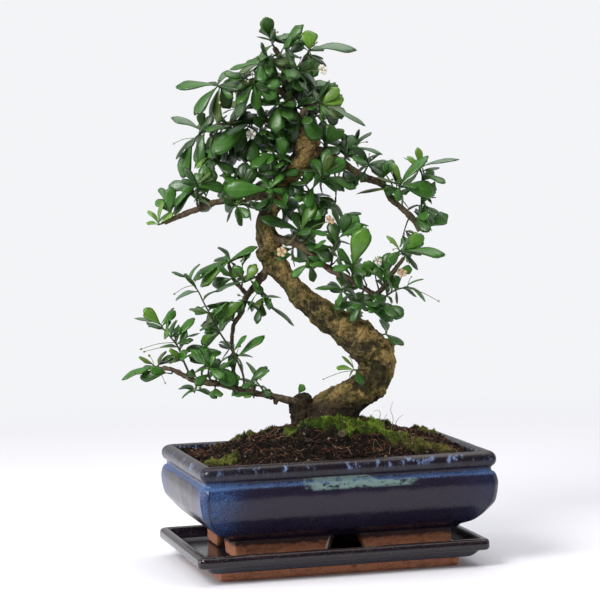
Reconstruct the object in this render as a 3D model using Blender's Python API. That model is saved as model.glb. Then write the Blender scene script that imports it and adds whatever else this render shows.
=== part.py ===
"""A fukien tea bonsai in its glazed oblong pot, standing on a matching saucer.

The tables below are in millimetres in the front view: across (to the right), up (from the surface
that the saucer stands on) and back (away from the viewer). The front view looks at the pot's long
side turned by VIEW_TURN, and the world's X axis runs along that long side, with +Z up.
"""

import math
import random

import bpy
import numpy as np
from mathutils import Matrix, Vector
from mathutils.bvhtree import BVHTree

MM = 0.001
VIEW_TURN = math.radians(14)
ACROSS = Vector((math.cos(VIEW_TURN), -math.sin(VIEW_TURN), 0))
BACK = Vector((math.sin(VIEW_TURN), math.cos(VIEW_TURN), 0))
UP = Vector((0, 0, 1))

# Clearance between touching pieces
GAP = 0.3
STEM_GAP = 0.45
HOLE_GAP = 0.9

# Pot: rim outline, corner, and the wall as (inset from the rim outline, height) up the outside
RIM_LENGTH = 260
RIM_WIDTH = 182
POT_CORNER = 8
POT_OUTSIDE = [(32, 32), (26.2, 35.6), (16.3, 40.3), (7.8, 49.4), (3.2, 54.6), (0.9, 59.2), (-0.9, 71.4),
               (0.4, 79), (2.2, 82.5), (3.4, 86.7), (1.2, 89), (0, 92), (0, 96), (2.5, 99.4), (6, 100.4)]
POT_INSIDE = [(10, 99.2), (12, 95), (12, 88), (9.5, 74), (11.5, 60), (17.5, 51), (36, 41)]
FOOT_OUTLINE = (192, 116)
FOOT_WALL = 9
FOOT_TOP = 34
FOOT_GAP_BOTTOM = 38
FOOT_GAP_TOP = 25
DRAIN_RADIUS = 9
DRAIN_APART = 84

# Saucer: rim outline, place, and profile from under the base, over the rim, to the floor inside
SAUCER_SIZE = (256, 180)
SAUCER_SHIFT = -6
SAUCER_CORNER = 6
SAUCER_FLOOR = 15.3
SAUCER_PROFILE = [(22, 0), (22, 8), (14, 8.6), (9.5, 12), (7, 14.4), (1, 15.6), (0, 17), (0, 22), (1.5, 24.4),
                  (4.5, 25), (7.5, 24.2), (10, 20.5), (14, 16.8), (20, SAUCER_FLOOR)]

# Soil: a mound round the trunk, cut clear of it
SOIL_EDGE = 96
SOIL_RISE = 32
SOIL_FALL = 2.2
SOIL_ROUND = 2.6
SOIL_RINGS = [1, 0.88, 0.74, 0.58, 0.42, 0.27]
TRUNK_FOOT = (7, 0)

# Drainage mesh: one strip over both holes
MESH_SIZE = (118, 26)
MESH_BAR = 2.4
MESH_THICK = 1.2
MESH_CELLS = (7, 2)

# Wood, as (across, up, back, radius)
TRUNK = [(5, 98, 0, 20), (6, 112, 0, 24), (7, 122, 0, 28), (9, 131, 0, 26), (16, 141, -2, 19.5),
         (27, 150, -4, 15), (39, 160, -7, 13.5), (46, 174, -9, 16), (43, 187, -10, 17), (29, 199, -8, 15),
         (9, 212, -5, 13), (-13, 229, -2, 12.2), (-27, 245, 0, 9.8), (-38, 261, 3, 10), (-43, 275, 4, 10.6),
         (-47, 292, 4, 8.6), (-47, 302, 4, 7.8), (-40, 316, 5, 8.2), (-29, 333, 5, 7.6), (-18, 349, 5, 8.6),
         (-10, 364, 5, 11), (-9, 377, 5, 10.4), (-10, 386, 5, 7)]
STUMP = [(-8, 110, 0, 13), (-15, 126, 0, 13), (-20, 140, 0, 11.5), (-22, 149, 0, 10.2)]
KNOBS = [(56, 189, -12, 7.5), (34, 182, -20, 7), (-2, 118, -17, 12), (30, 119, -12, 13), (22, 121, 17, 14),
         (-50, 272, -2, 6.5)]
BRANCHES = {
    "low_left": [(-16, 139, -3, 4), (-31, 144, -10, 3.4), (-44, 148, -12, 2.9), (-58, 151, -13, 2.6),
                 (-79, 157, -14, 2.5), (-94, 161, -14, 2.4), (-110, 163, -14, 2.3), (-120, 168, -15, 2.2),
                 (-131, 174, -15, 2), (-140, 176, -16, 1.8)],
    "mid_left": [(-44, 262, 3, 4), (-57, 245, 8, 3), (-66, 234, 12, 2.6), (-71, 220, 15, 2.2),
                 (-77, 211, 17, 2), (-79, 203, 18, 1.8), (-80, 193, 19, 1.6)],
    "mid_left_twig": [(-65, 236, 12, 2), (-76, 250, 10, 1.7), (-80, 262, 7, 1.5)],
    "upper_left": [(-38, 322, 2, 4), (-55, 323, -10, 3), (-74, 321, -15, 2.7), (-90, 319, -19, 2.6),
                   (-104, 314, -22, 2.6), (-116, 310, -23, 2.5), (-134, 303, -25, 2.2)],
    "upper_right": [(-10, 364, 5, 4.5), (4, 361, 8, 3.6), (22, 350, 12, 3.2), (39, 338, 15, 3),
                    (57, 330, 17, 2.8), (64, 318, 18, 2.7), (73, 309, 19, 2.6), (83, 299, 20, 2.4),
                    (89, 288, 20, 2)],
    "mid_right": [(-44, 287, 0, 4.5), (-21, 281, -10, 3.3), (-10, 273, -13, 2.8), (7, 259, -17, 2.6),
                  (26, 249, -21, 2.5), (38, 241, -24, 2.4), (50, 233, -26, 2.2)],
    "mid_right_rise": [(47, 235, -26, 2.1), (56, 244, -28, 2), (62, 254, -29, 1.9), (72, 267, -30, 1.7)],
    "crown": [(-10, 380, 5, 6), (-18, 391, 4, 4.4), (-23, 406, 2, 3.8), (-26, 424, 0, 3.2),
              (-28, 438, -2, 2.7), (-35, 452, -4, 2.1)],
    "crown_right": [(-25, 417, 1, 2.6), (-15, 428, 8, 2.2), (-8, 443, 13, 1.8)],
    "crown_left": [(-25, 410, 1, 3), (-40, 420, -8, 2.5), (-55, 423, -14, 2.3), (-68, 416, -19, 2.2),
                   (-79, 417, -21, 1.9)],
    "crown_low_left": [(-17, 386, 5, 3.6), (-30, 391, 10, 2.8), (-43, 389, 14, 2.6), (-69, 388, 18, 2.3),
                       (-96, 384, 22, 2)],
    "crown_spur": [(-9, 381, 2, 3.2), (-12, 394, -8, 2.5), (-1, 402, -14, 2)],
}

# Leafy stems: the stem's route (across, up, back) from the wood, then each leaf as how far along the
# stem it grows, where its tip is seen (across, up), how wide it looks, and its tone
SPRAYS = {
    "crown_tip": (
        [(-35, 452, -4), (-39, 461, -5)],
        [(1, -42, 478, 13, "mid"), (1, -24, 458, 7, "pale"), (0.8, -15, 460, 5, "mid"),
         (0.4, -48, 458, 4, "dark")],
    ),
    "crown_right_tip": (
        [(-8, 443, 13), (-4, 451, 14)],
        [(1, -5, 467, 17, "new"), (0.7, -24, 458, 5, "dark"), (1, 40, 451, 11, "pale"),
         (0.6, 8, 450, 7, "mid"), (0.5, 2, 432, 12, "new"), (0.3, 10, 434, 5, "dark")],
    ),
    "crown_upper_left": (
        [(-29, 443, -3), (-31, 446, -11), (-38, 443, -15), (-48, 437, -18)],
        [(0.2, -12, 443, 9, "mid"), (0.2, -22, 433, 8, "dark"), (0.6, -51, 445, 8, "mid"),
         (0.7, -55, 441, 7, "dark"), (0.65, -51, 425, 12, "dark"), (0.6, -38, 422, 12, "dark"),
         (1, -74, 433, 5, "mid"), (1, -66, 429, 5, "olive")],
    ),
    "crown_left": (
        [(-51, 423, -13), (-54, 420, -22)],
        [(0.95, -80, 423, 11, "mid"), (0.6, -34, 408, 15, "bright"), (1, -51, 397, 11, "bright"),
         (1, -70, 391, 11, "pale")],
    ),
    "crown_left_tip": (
        [(-79, 417, -21), (-86, 420, -23)],
        [(1, -121, 418, 9, "mid"), (1, -75, 433, 7, "pale"), (0.8, -105, 394, 11, "mid"),
         (0.5, -86, 387, 10, "olive"), (0.4, -93, 393, 4, "dark")],
    ),
    "crown_low_left": (
        [(-76, 388, 19), (-75, 383, 10), (-74, 382, 5)],
        [(0.9, -97, 359, 18, "bright"), (1, -65, 371, 9, "mid"), (0.4, -93, 398, 7, "dark")],
    ),
    "crown_side_left": (
        [(-96, 384, 22), (-103, 379, 23), (-110, 373, 24)],
        [(0.3, -128, 394, 7, "pale"), (0.4, -104, 370, 11, "dark"), (1, -121, 340, 14, "bright"),
         (0.9, -125, 357, 5, "dark"), (0.6, -90, 395, 9, "dark")],
    ),
    "crown_low_mid": (
        [(-50, 389, 15), (-49, 381, 4), (-54, 374, 0)],
        [(1, -58, 352, 13, "mid"), (0.5, -37, 372, 8, "dark"), (0.7, -69, 376, 8, "dark")],
    ),
    "crown_inner": (
        [(-23, 403, 2), (-33, 402, -12)],
        [(0.9, -33, 383, 10, "mid"), (0.7, -44, 386, 8, "mid"), (0.6, -15, 385, 11, "dark")],
    ),
    "crown_right": (
        [(-24, 415, 2), (-14, 432, -9)],
        [(1, -14, 413, 15, "bright"), (0.95, 1, 419, 9, "pale"), (0.75, -27, 414, 9, "dark")],
    ),
    "crown_right_low": (
        [(-21, 399, 3), (-14, 401, -8)],
        [(0.95, -2, 418, 11, "dark"), (0.5, -1, 373, 14, "dark"), (0.8, 2, 405, 8, "dark")],
    ),
    "crown_side_right": (
        [(-1, 402, -14), (6, 399, -16)],
        [(0.8, 20, 415, 12, "new"), (0.75, 24, 406, 11, "new"), (0.9, 18, 384, 11, "dark"),
         (1, 47, 378, 4, "pale"), (0.35, 13, 422, 4, "dark")],
    ),
    "crown_back": (
        [(-23, 407, 2), (-12, 415, 30), (-12, 426, 48)],
        [(1, 4, 410, 11, "dark"), (1, -28, 434, 11, "dark"), (0.85, 1, 437, 10, "mid"),
         (0.9, -19, 410, 11, "dark")],
    ),
    "upper_left": (
        [(-106, 314, -22), (-104, 336, -24)],
        [(1, -130, 334, 11, "pale"), (1, -118, 329, 8, "bright"), (0.9, -128, 316, 7, "bright"),
         (0.75, -127, 310, 8, "dark"), (0.75, -117, 350, 7, "dark"), (0.85, -81, 331, 11, "bright"),
         (0.6, -96, 311, 14, "mid")],
    ),
    "upper_left_high": (
        [(-92, 385, 21), (-94, 366, 12), (-92, 355, 4)],
        [(1, -104, 327, 10, "pale"), (0.9, -106, 350, 5, "new"), (1, -74, 343, 9, "dark"),
         (0.7, -80, 368, 9, "dark")],
    ),
    "upper_left_tip": (
        [(-134, 303, -25), (-140, 301, -25)],
        [(0.8, -134, 322, 5, "new"), (0.9, -148, 314, 5, "new"), (0.6, -125, 311, 5, "new"),
         (1, -150, 303, 5, "new")],
    ),
    "upper_left_under": (
        [(-74, 321, -15), (-71, 314, -21)],
        [(0.8, -60, 305, 9, "mid"), (0.7, -79, 303, 6, "dark"), (0.9, -69, 301, 5, "dark"),
         (0.7, -58, 315, 5, "dark")],
    ),
    "trunk_front": (
        [(-38, 306, 0), (-39, 318, -17), (-43, 330, -20)],
        [(1, -83, 330, 18, "bright"), (1, -26, 325, 11, "mid"), (1, -54, 346, 9, "mid"),
         (0.7, -53, 313, 7, "dark"), (0.65, -29, 313, 6, "dark")],
    ),
    "trunk_top_left": (
        [(-20, 348, 5), (-31, 356, -2), (-39, 360, -8)],
        [(1, -51, 344, 11, "mid"), (1, -24, 351, 11, "dark"), (0.9, -51, 368, 8, "dark"),
         (0.75, -38, 340, 9, "dark")],
    ),
    "upper_right_near": (
        [(-28, 335, 0), (-10, 326, -12), (6, 340, -20)],
        [(0.9, -4, 356, 11, "mid"), (1, 9, 363, 11, "mid"), (1, 24, 354, 12, "bright"),
         (1, 23, 326, 8, "dark"), (0.95, 33, 328, 10, "mid"), (0.85, -7, 350, 8, "dark")],
    ),
    "upper_right_back": (
        [(22, 350, 12), (29, 359, 22), (34, 364, 26)],
        [(1, 49, 376, 6, "mid"), (1, 58, 356, 5, "mid"), (0.7, 20, 377, 7, "dark"),
         (0.6, 15, 368, 6, "dark"), (1, 38, 379, 5, "dark")],
    ),
    "upper_right_mid": (
        [(39, 338, 15), (45, 348, 8)],
        [(0.9, 33, 354, 11, "mid"), (1, 58, 343, 7, "mid"), (0.85, 34, 334, 8, "dark"),
         (0.9, 54, 356, 6, "dark")],
    ),
    "upper_right_far": (
        [(64, 318, 18), (70, 325, 8), (72, 329, 3)],
        [(1, 98, 354, 11, "bright"), (1, 104, 322, 17, "bright"), (0.75, 58, 324, 11, "mid"),
         (1, 66, 349, 7, "new"), (0.55, 33, 323, 5, "olive"), (0.9, 50, 336, 6, "olive"),
         (0.65, 75, 311, 9, "mid")],
    ),
    "upper_right_tip": (
        [(88, 290, 20), (91, 311, 20), (92, 337, 18), (90, 345, 17)],
        [(1, 89, 362, 7, "new"), (0.97, 126, 349, 5, "pale"), (0.9, 106, 343, 5, "dark"),
         (0.85, 111, 331, 6, "mid"), (0.35, 113, 298, 6, "dark"), (0.3, 100, 295, 5, "dark"),
         (0.45, 104, 317, 5, "dark"), (0.35, 78, 306, 5, "dark"), (0.95, 79, 354, 6, "new")],
    ),
    "middle": (
        [(-23, 281, -9), (-16, 292, -17)],
        [(1, -3, 317, 11, "bright"), (0.9, 9, 288, 8, "mid"), (0.95, -52, 304, 11, "dark"),
         (1, -22, 309, 8, "dark"), (0.65, -31, 279, 8, "dark")],
    ),
    "middle_high": (
        [(-22, 343, 8), (-8, 327, 22), (-1, 313, 26)],
        [(0.8, 9, 320, 7, "dark"), (0.95, 2, 298, 7, "dark"), (1, -13, 306, 7, "dark"),
         (0.65, -19, 317, 7, "dark")],
    ),
    "middle_right": (
        [(7, 259, -17), (12, 278, -12), (21, 299, -6)],
        [(1, 12, 316, 7, "olive"), (1, 36, 307, 8, "mid"), (0.95, 43, 294, 5, "mid"),
         (0.65, 1, 290, 6, "olive"), (0.5, 26, 279, 6, "dark"), (0.75, 33, 286, 6, "dark"),
         (0.4, -12, 276, 9, "dark")],
    ),
    "right_front": (
        [(26, 249, -21), (28, 262, -31)],
        [(1, 40, 295, 18, "bright"), (1, 42, 255, 12, "new"), (1, 11, 260, 7, "mid"),
         (0.9, 13, 276, 8, "dark"), (0.7, 33, 243, 8, "dark")],
    ),
    "right_root": (
        [(-10, 273, -12), (-9, 263, -23)],
        [(0.95, -26, 252, 8, "mid"), (1, 4, 263, 6, "mid"), (0.9, -7, 248, 8, "dark"),
         (0.8, -25, 268, 7, "dark")],
    ),
    "right_upper_tip": (
        [(72, 267, -30), (68, 274, -31)],
        [(1, 90, 286, 14, "bright"), (0.8, 108, 269, 8, "mid"), (0.7, 84, 256, 6, "dark"),
         (0.6, 48, 252, 11, "pale"), (1, 58, 287, 5, "new")],
    ),
    "right_tip": (
        [(50, 233, -26), (64, 239, -27), (76, 242, -28)],
        [(1, 92, 229, 7, "mid"), (0.55, 65, 228, 5, "dark"), (0.9, 87, 249, 6, "mid"),
         (0.4, 56, 249, 7, "dark"), (0.8, 82, 233, 5, "dark")],
    ),
    "right_low": (
        [(38, 241, -24), (37, 226, -24)],
        [(0.9, 10, 224, 7, "dark"), (1, 64, 225, 7, "dark"), (1, 62, 212, 11, "dark"),
         (1, 24, 212, 8, "dark"), (0.8, 48, 232, 7, "mid")],
    ),
    "right_mid": (
        [(26, 249, -21), (18, 239, -15)],
        [(1, -5, 243, 7, "mid"), (1, 15, 227, 5, "mid"), (0.8, 31, 232, 7, "dark")],
    ),
    "right_under": (
        [(46, 192, -10), (56, 201, -22)],
        [(1, 69, 191, 7, "dark"), (0.9, 49, 212, 6, "dark")],
    ),
    "trunk_sprout": (
        [(42, 168, -8), (26, 171, -30)],
        [(0.9, 12, 172, 5, "new"), (1, 16, 184, 5, "new"), (0.9, 23, 164, 5, "new")],
    ),
    "middle_left": (
        [(-80, 262, 7), (-78, 268, 2)],
        [(1, -54, 279, 8, "mid"), (0.8, -113, 252, 8, "mid"), (0.9, -106, 245, 11, "bright"),
         (0.9, -89, 279, 5, "dark"), (0.7, -72, 254, 7, "dark")],
    ),
    "middle_left_low": (
        [(-54, 250, 5), (-67, 248, -4)],
        [(0.85, -56, 264, 11, "new"), (0.95, -93, 239, 5, "pale"), (0.6, -51, 237, 8, "dark"),
         (0.9, -75, 258, 5, "olive")],
    ),
    "lower_left_front": (
        [(-66, 234, 12), (-67, 231, 2)],
        [(0.95, -95, 217, 17, "bright"), (0.9, -54, 221, 8, "dark"), (1, -74, 220, 7, "dark")],
    ),
    "middle_stub": (
        [(-57, 245, 8), (-50, 237, 0), (-52, 227, -2)],
        [(0.7, -36, 232, 5, "mid"), (1, -23, 210, 5, "pale"), (1, -57, 212, 7, "dark"),
         (0.6, -43, 222, 7, "dark")],
    ),
    "long_stem": (
        [(-69, 155, -14), (-70, 168, -15), (-78, 188, -17), (-88, 204, -19), (-96, 220, -20),
         (-102, 232, -21), (-107, 243, -22), (-114, 252, -22)],
        [(0.9, -118, 258, 4, "dark"), (0.8, -92, 241, 4, "dark"), (0.88, -127, 235, 6, "pale"),
         (1, -127, 260, 5, "dark"), (0.67, -113, 226, 6, "olive"), (0.6, -104, 208, 10, "dark"),
         (0.5, -106, 196, 11, "bright"), (0.3, -66, 203, 5, "mid"), (0.25, -49, 200, 7, "mid"),
         (0.7, -84, 230, 5, "dark"), (1, -107, 264, 5, "mid")],
    ),
    "left_up_twig": (
        [(-121, 168, -15), (-121, 180, -14), (-127, 195, -12), (-138, 209, -10), (-141, 214, -10)],
        [(1, -155, 228, 11, "new"), (0.97, -164, 220, 4, "pale"), (0.95, -128, 225, 8, "mid"),
         (0.62, -111, 218, 8, "mid"), (0.55, -108, 205, 4, "mid"), (0.68, -129, 216, 7, "mid"),
         (0.5, -142, 192, 5, "dark"), (0.35, -141, 182, 5, "dark"), (0.3, -132, 192, 8, "new"),
         (0.3, -88, 186, 7, "mid"), (0.35, -105, 195, 8, "pale"), (0.85, -152, 211, 5, "dark")],
    ),
    "left_tip": (
        [(-140, 176, -16), (-148, 178, -16)],
        [(0.95, -176, 166, 7, "mid"), (1, -160, 186, 5, "new"), (0.8, -164, 172, 5, "mid"),
         (0.4, -139, 190, 6, "olive")],
    ),
    "left_front": (
        [(-99, 162, -14), (-100, 169, -24), (-99, 178, -28)],
        [(1, -75, 161, 15, "dark"), (0.85, -113, 168, 8, "mid"), (1, -104, 192, 7, "mid")],
    ),
    "lower_middle": (
        [(-80, 193, 19), (-76, 180, 19)],
        [(1, -62, 180, 5, "mid"), (0.9, -90, 176, 5, "mid"), (1, -70, 164, 6, "dark"),
         (0.6, -89, 192, 5, "dark")],
    ),
    "left_under": (
        [(-55, 150, -13), (-59, 163, -19)],
        [(1, -47, 173, 5, "mid"), (0.9, -71, 157, 7, "dark"), (1, -66, 177, 6, "mid"),
         (0.5, -78, 153, 8, "olive"), (0.5, -48, 145, 6, "dark")],
    ),
    "left_low": (
        [(-110, 163, -14), (-113, 153, -15)],
        [(0.7, -98, 150, 8, "mid"), (1, -123, 148, 6, "mid"), (0.6, -124, 159, 5, "dark")],
    ),
    "back_middle": (
        [(-43, 268, 4), (-27, 274, 34), (-19, 276, 58)],
        [(1, -3, 281, 11, "dark"), (1, -33, 285, 11, "dark"), (0.9, -14, 261, 11, "dark"),
         (0.6, -41, 271, 10, "dark"), (1, -22, 292, 10, "dark")],
    ),
    "back_right": (
        [(30, 198, -2), (26, 228, 34), (21, 234, 50)],
        [(1, 35, 244, 11, "dark"), (1, 7, 242, 11, "dark"), (0.9, 40, 224, 11, "dark"),
         (0.95, 19, 248, 10, "dark"), (0.8, 13, 222, 10, "dark")],
    ),
    "back_left": (
        [(-44, 310, 4), (-64, 314, 34), (-76, 323, 50)],
        [(1, -90, 319, 11, "dark"), (1, -63, 331, 11, "dark"), (0.9, -83, 309, 10, "dark"),
         (1, -82, 337, 10, "dark"), (0.75, -56, 315, 10, "dark")],
    ),
}

# Blooms and buds: the leafy stem, how far along it, and the place (across, up, back)
BLOOMS = {
    "bloom_crown_left": ("crown_low_mid", 0.5, (-57, 377, -9)),
    "bloom_crown_right": ("crown_right", 0.9, (6, 431, -16)),
    "bloom_middle": ("middle", 0.9, (9, 301, -22)),
    "bloom_trunk": ("middle", 0.5, (-33, 275, -24)),
    "bloom_right": ("right_tip", 0.7, (70, 254, -36)),
    "bloom_right_inner": ("right_front", 0.8, (49, 265, -34)),
}
BUDS = [
    ("crown_left_tip", 0.6, (-83, 405, -30)), ("crown_side_left", 0.8, (-126, 371, 20)),
    ("crown_side_right", 0.9, (9, 382, -24)), ("crown_low_mid", 0.6, (-44, 386, -8)),
    ("trunk_sprout", 0.7, (0, 164, -32)), ("long_stem", 0.95, (-127, 241, -26)),
    ("left_up_twig", 0.6, (-158, 193, -16)), ("left_up_twig", 0.5, (-155, 191, -20)),
    ("left_tip", 0.6, (-138, 163, -18)), ("right_tip", 0.9, (101, 229, -30)),
]

# Leaf form, as shares of the leaf's length and half-width
LEAF_MOST = 42
LEAF_SHAPE = 0.42
LARGE_ROWS = [(0.5, 0.66), (0.8, 1)]
SMALL_ROWS = [(0.68, 1)]
SMALL_LEAF = 20
TOOTH = (0.96, 0.5)
LEAF_THICK = 1.3
LEAF_SUNK = 0.7
LEAF_ARCH = 0.09
EDGE_DROOP = 0.16
LEAF_LENGTHS = (17, 26)
NEW_LEAF = 0.75
TILT_MOST = 66
TURNS = [0, 10, -10, 20, -20, 34, -34, 50, -50, 70, -70]
SHRINKS = [1, 0.86, 0.72]
CLEARANCE = 0.7

RAY = 40

# One more dark leaf on each stem, behind the listed ones: how far and wide it looks
INNER_REACH = 13
INNER_WIDTH = 9

STEM_RADIUS = (1.1, 0.85)
STEM_SIDES = 4
STEM_STEP = 14
PEDUNCLE_RADIUS = 0.6
PETALS = 5
PETAL = (4.8, 4.2)

rng = random.Random(26)


def at(across, up, back):
    """The world point, in metres, of a place given in the front view."""
    return (ACROSS * across + BACK * back + UP * up) * MM


def finish(name, colour, roughness, coat=0.0):
    """A Principled material of one colour."""
    material = bpy.data.materials.get(name) or bpy.data.materials.new(name)
    material.use_nodes = True
    shader = material.node_tree.nodes["Principled BSDF"]
    shader.inputs["Base Color"].default_value = (*colour, 1)
    shader.inputs["Roughness"].default_value = roughness
    shader.inputs["Coat Weight"].default_value = coat
    return material


def outward(shape):
    """The shape with its faces turned out, judged by the sign of its volume."""
    points, faces = shape
    corners = [(f[0], f[i], f[i + 1]) for f in faces for i in range(1, len(f) - 1)]
    volume = sum(points[a].dot(points[b].cross(points[c])) for a, b, c in corners)
    return (points, faces) if volume > 0 else (points, [tuple(reversed(f)) for f in faces])


def solid(name, shape, material):
    """An object for one closed shape."""
    points, faces = outward(shape)
    mesh = bpy.data.meshes.new(name)
    mesh.from_pydata(points, [], faces)
    mesh.materials.append(material)
    thing = bpy.data.objects.new(name, mesh)
    bpy.context.scene.collection.objects.link(thing)
    return thing


def apply_modifiers(thing):
    """Bakes the object's modifiers into its mesh."""
    bpy.context.view_layer.update()
    evaluated = thing.evaluated_get(bpy.context.evaluated_depsgraph_get())
    mesh = bpy.data.meshes.new_from_object(evaluated)
    thing.modifiers.clear()
    thing.data = mesh


def combine(thing, others, operation, solver="EXACT"):
    """One Boolean of the object with a collection of others, applied, with the others then removed."""
    group = bpy.data.collections.new(thing.name + "_others")
    bpy.context.scene.collection.children.link(group)
    for other in others:
        bpy.context.scene.collection.objects.unlink(other)
        group.objects.link(other)
    boolean = thing.modifiers.new("combine", "BOOLEAN")
    boolean.operation = operation
    boolean.solver = solver
    boolean.operand_type = "COLLECTION"
    boolean.collection = group
    apply_modifiers(thing)
    for other in others:
        bpy.data.objects.remove(other)
    bpy.data.collections.remove(group)
    return thing


def fuse(name, shapes, material, solver="EXACT"):
    """All the shapes joined in one body."""
    things = [solid(f"{name}_{i}" if i else name, shape, material) for i, shape in enumerate(shapes)]
    return combine(things[0], things[1:], "UNION", solver) if len(things) > 1 else things[0]


def rounded_outline(length, width, corner, steps=3, along=(0, 0)):
    """Points round a rectangle with round corners, with extra points along the long and short sides."""
    points = []
    for quarter in range(4):
        sx, sy = ((1, 1), (-1, 1), (-1, -1), (1, -1))[quarter]
        centre = Vector((sx * (length / 2 - corner), sy * (width / 2 - corner)))
        for k in range(steps + 1):
            angle = math.pi / 2 * (quarter + k / steps)
            points.append(centre + corner * Vector((math.cos(angle), math.sin(angle))))
        start, extra = points[-1], along[quarter % 2]
        nx, ny = ((-1, 1), (-1, -1), (1, -1), (1, 1))[quarter]
        turn = math.pi / 2 * (quarter + 1)
        end = Vector((nx * (length / 2 - corner), ny * (width / 2 - corner)))
        end = end + corner * Vector((math.cos(turn), math.sin(turn)))
        points += [start.lerp(end, (k + 1) / (extra + 1)) for k in range(extra)]
    return points


def loft(rings):
    """A closed shape through rings of as many points each, with a flat face at both ends."""
    count = len(rings[0])
    points = [p for ring in rings for p in ring]
    faces = [tuple(range(count)), tuple(range(len(points) - 1, len(points) - count - 1, -1))]
    for r in range(len(rings) - 1):
        for k in range(count):
            a, b = r * count + k, r * count + (k + 1) % count
            faces.append((b, a, a + count, b + count))
    return points, faces


def split_quads(shape):
    """The same shape with every bent four-sided face cut along its first diagonal."""
    points, faces = shape
    flat, bent = faces[:2], faces[2:]
    return points, flat + [half for a, b, c, d in bent for half in ((a, b, c), (a, c, d))]


def walls(size, corner, profile, shift=0, along=(0, 0)):
    """Rings of a rounded oblong vessel, one for each (inset, height) of its profile."""
    rings = []
    for inset, height in profile:
        length, width = size[0] - 2 * inset, size[1] - 2 * inset
        outline = rounded_outline(length, width, max(corner - inset * 0.5, 3), 3, along)
        rings.append([Vector((p.x + shift, p.y, height)) * MM for p in outline])
    return rings


def block(size, centre):
    """A box, as eight points and six faces."""
    half = Vector(size) * 0.5
    corners = ((-1, -1), (1, -1), (1, 1), (-1, 1))
    rings = [[(Vector(centre) + Vector((x * half.x, y * half.y, z * half.z))) * MM for x, y in corners]
             for z in (-1, 1)]
    return loft(rings)


def wedge(reach, turn):
    """A bar through the foot ring, wider at the bottom, that cuts the gap between two feet."""
    bottom, top = SAUCER_FLOOR - 1, FOOT_TOP + 2
    slope = (FOOT_GAP_BOTTOM - FOOT_GAP_TOP) / 2 / (FOOT_TOP - SAUCER_FLOOR)
    low, high = FOOT_GAP_BOTTOM / 2 + slope, FOOT_GAP_TOP / 2 - slope
    matrix = Matrix.Rotation(turn, 3, "Z")
    ring = [(-low, bottom), (low, bottom), (high, top), (-high, top)]
    ends = [[matrix @ Vector((x, y, z)) * MM for x, z in ring] for y in (-reach, reach)]
    return loft(ends)


def cylinder(radius, low, high, x, sides=12):
    """An upright cylinder at (x, 0)."""
    angles = [math.tau * k / sides for k in range(sides)]
    ring = [Vector((x + radius * math.cos(a), radius * math.sin(a), 0)) for a in angles]
    return loft([[(p + UP * z) * MM for p in ring] for z in (low, high)])


def make_pot():
    """The glazed pot: one wall turned over at the rim, a foot ring cut into four feet, and drain holes."""
    glaze = finish("pot_glaze", (0.03, 0.035, 0.07), 0.2, 1)
    body = solid("pot", loft(walls((RIM_LENGTH, RIM_WIDTH), POT_CORNER, POT_OUTSIDE + POT_INSIDE)), glaze)
    foot_bottom = SAUCER_FLOOR + GAP
    outer = block((*FOOT_OUTLINE, FOOT_TOP - foot_bottom), (0, 0, (FOOT_TOP + foot_bottom) / 2))
    feet = solid("feet", outer, glaze)
    inner_size = (FOOT_OUTLINE[0] - 2 * FOOT_WALL, FOOT_OUTLINE[1] - 2 * FOOT_WALL, FOOT_TOP)
    cuts = [solid("hollow", block(inner_size, (0, 0, FOOT_TOP / 2)), glaze),
            solid("front_gap", wedge(FOOT_OUTLINE[0], 0), glaze),
            solid("side_gap", wedge(FOOT_OUTLINE[0], math.pi / 2), glaze)]
    combine(feet, cuts, "DIFFERENCE")
    combine(body, [feet], "UNION")
    places = (-DRAIN_APART / 2, DRAIN_APART / 2)
    holes = [solid("drain", cylinder(DRAIN_RADIUS, 20, 50, x), glaze) for x in places]
    return combine(body, holes, "DIFFERENCE")


def make_saucer():
    """The saucer: a shallow glazed tray on a plain flat base."""
    glaze = finish("saucer_glaze", (0.012, 0.012, 0.02), 0.15, 1)
    return solid("saucer", loft(walls(SAUCER_SIZE, SAUCER_CORNER, SAUCER_PROFILE, SAUCER_SHIFT)), glaze)


def make_drain_mesh():
    """The plastic mesh strip that keeps the soil off the drain holes."""
    floor = POT_INSIDE[-1][1]
    middle = floor + GAP + MESH_THICK / 2
    plastic = finish("mesh_plastic", (0.02, 0.02, 0.02), 0.6)
    strip = solid("drain_mesh", block((*MESH_SIZE, MESH_THICK), (0, 0, middle)), plastic)
    pitch = [(MESH_SIZE[i] - MESH_BAR) / MESH_CELLS[i] for i in (0, 1)]
    cells = []
    for i in range(MESH_CELLS[0]):
        for j in range(MESH_CELLS[1]):
            x = (i - (MESH_CELLS[0] - 1) / 2) * pitch[0]
            y = (j - (MESH_CELLS[1] - 1) / 2) * pitch[1]
            size = (pitch[0] - MESH_BAR, pitch[1] - MESH_BAR, 3 * MESH_THICK)
            cells.append(solid("cell", block(size, (x, y, middle)), plastic))
    return combine(strip, cells, "DIFFERENCE")


def soil_height(across_share, along_share):
    """Height of the mound, from how far the spot is from its middle to the pot's walls each way."""
    reach = (abs(across_share) ** SOIL_ROUND + abs(along_share) ** SOIL_ROUND) ** (1 / SOIL_ROUND)
    return SOIL_EDGE + SOIL_RISE * (1 - min(1, reach) ** SOIL_FALL)


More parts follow.
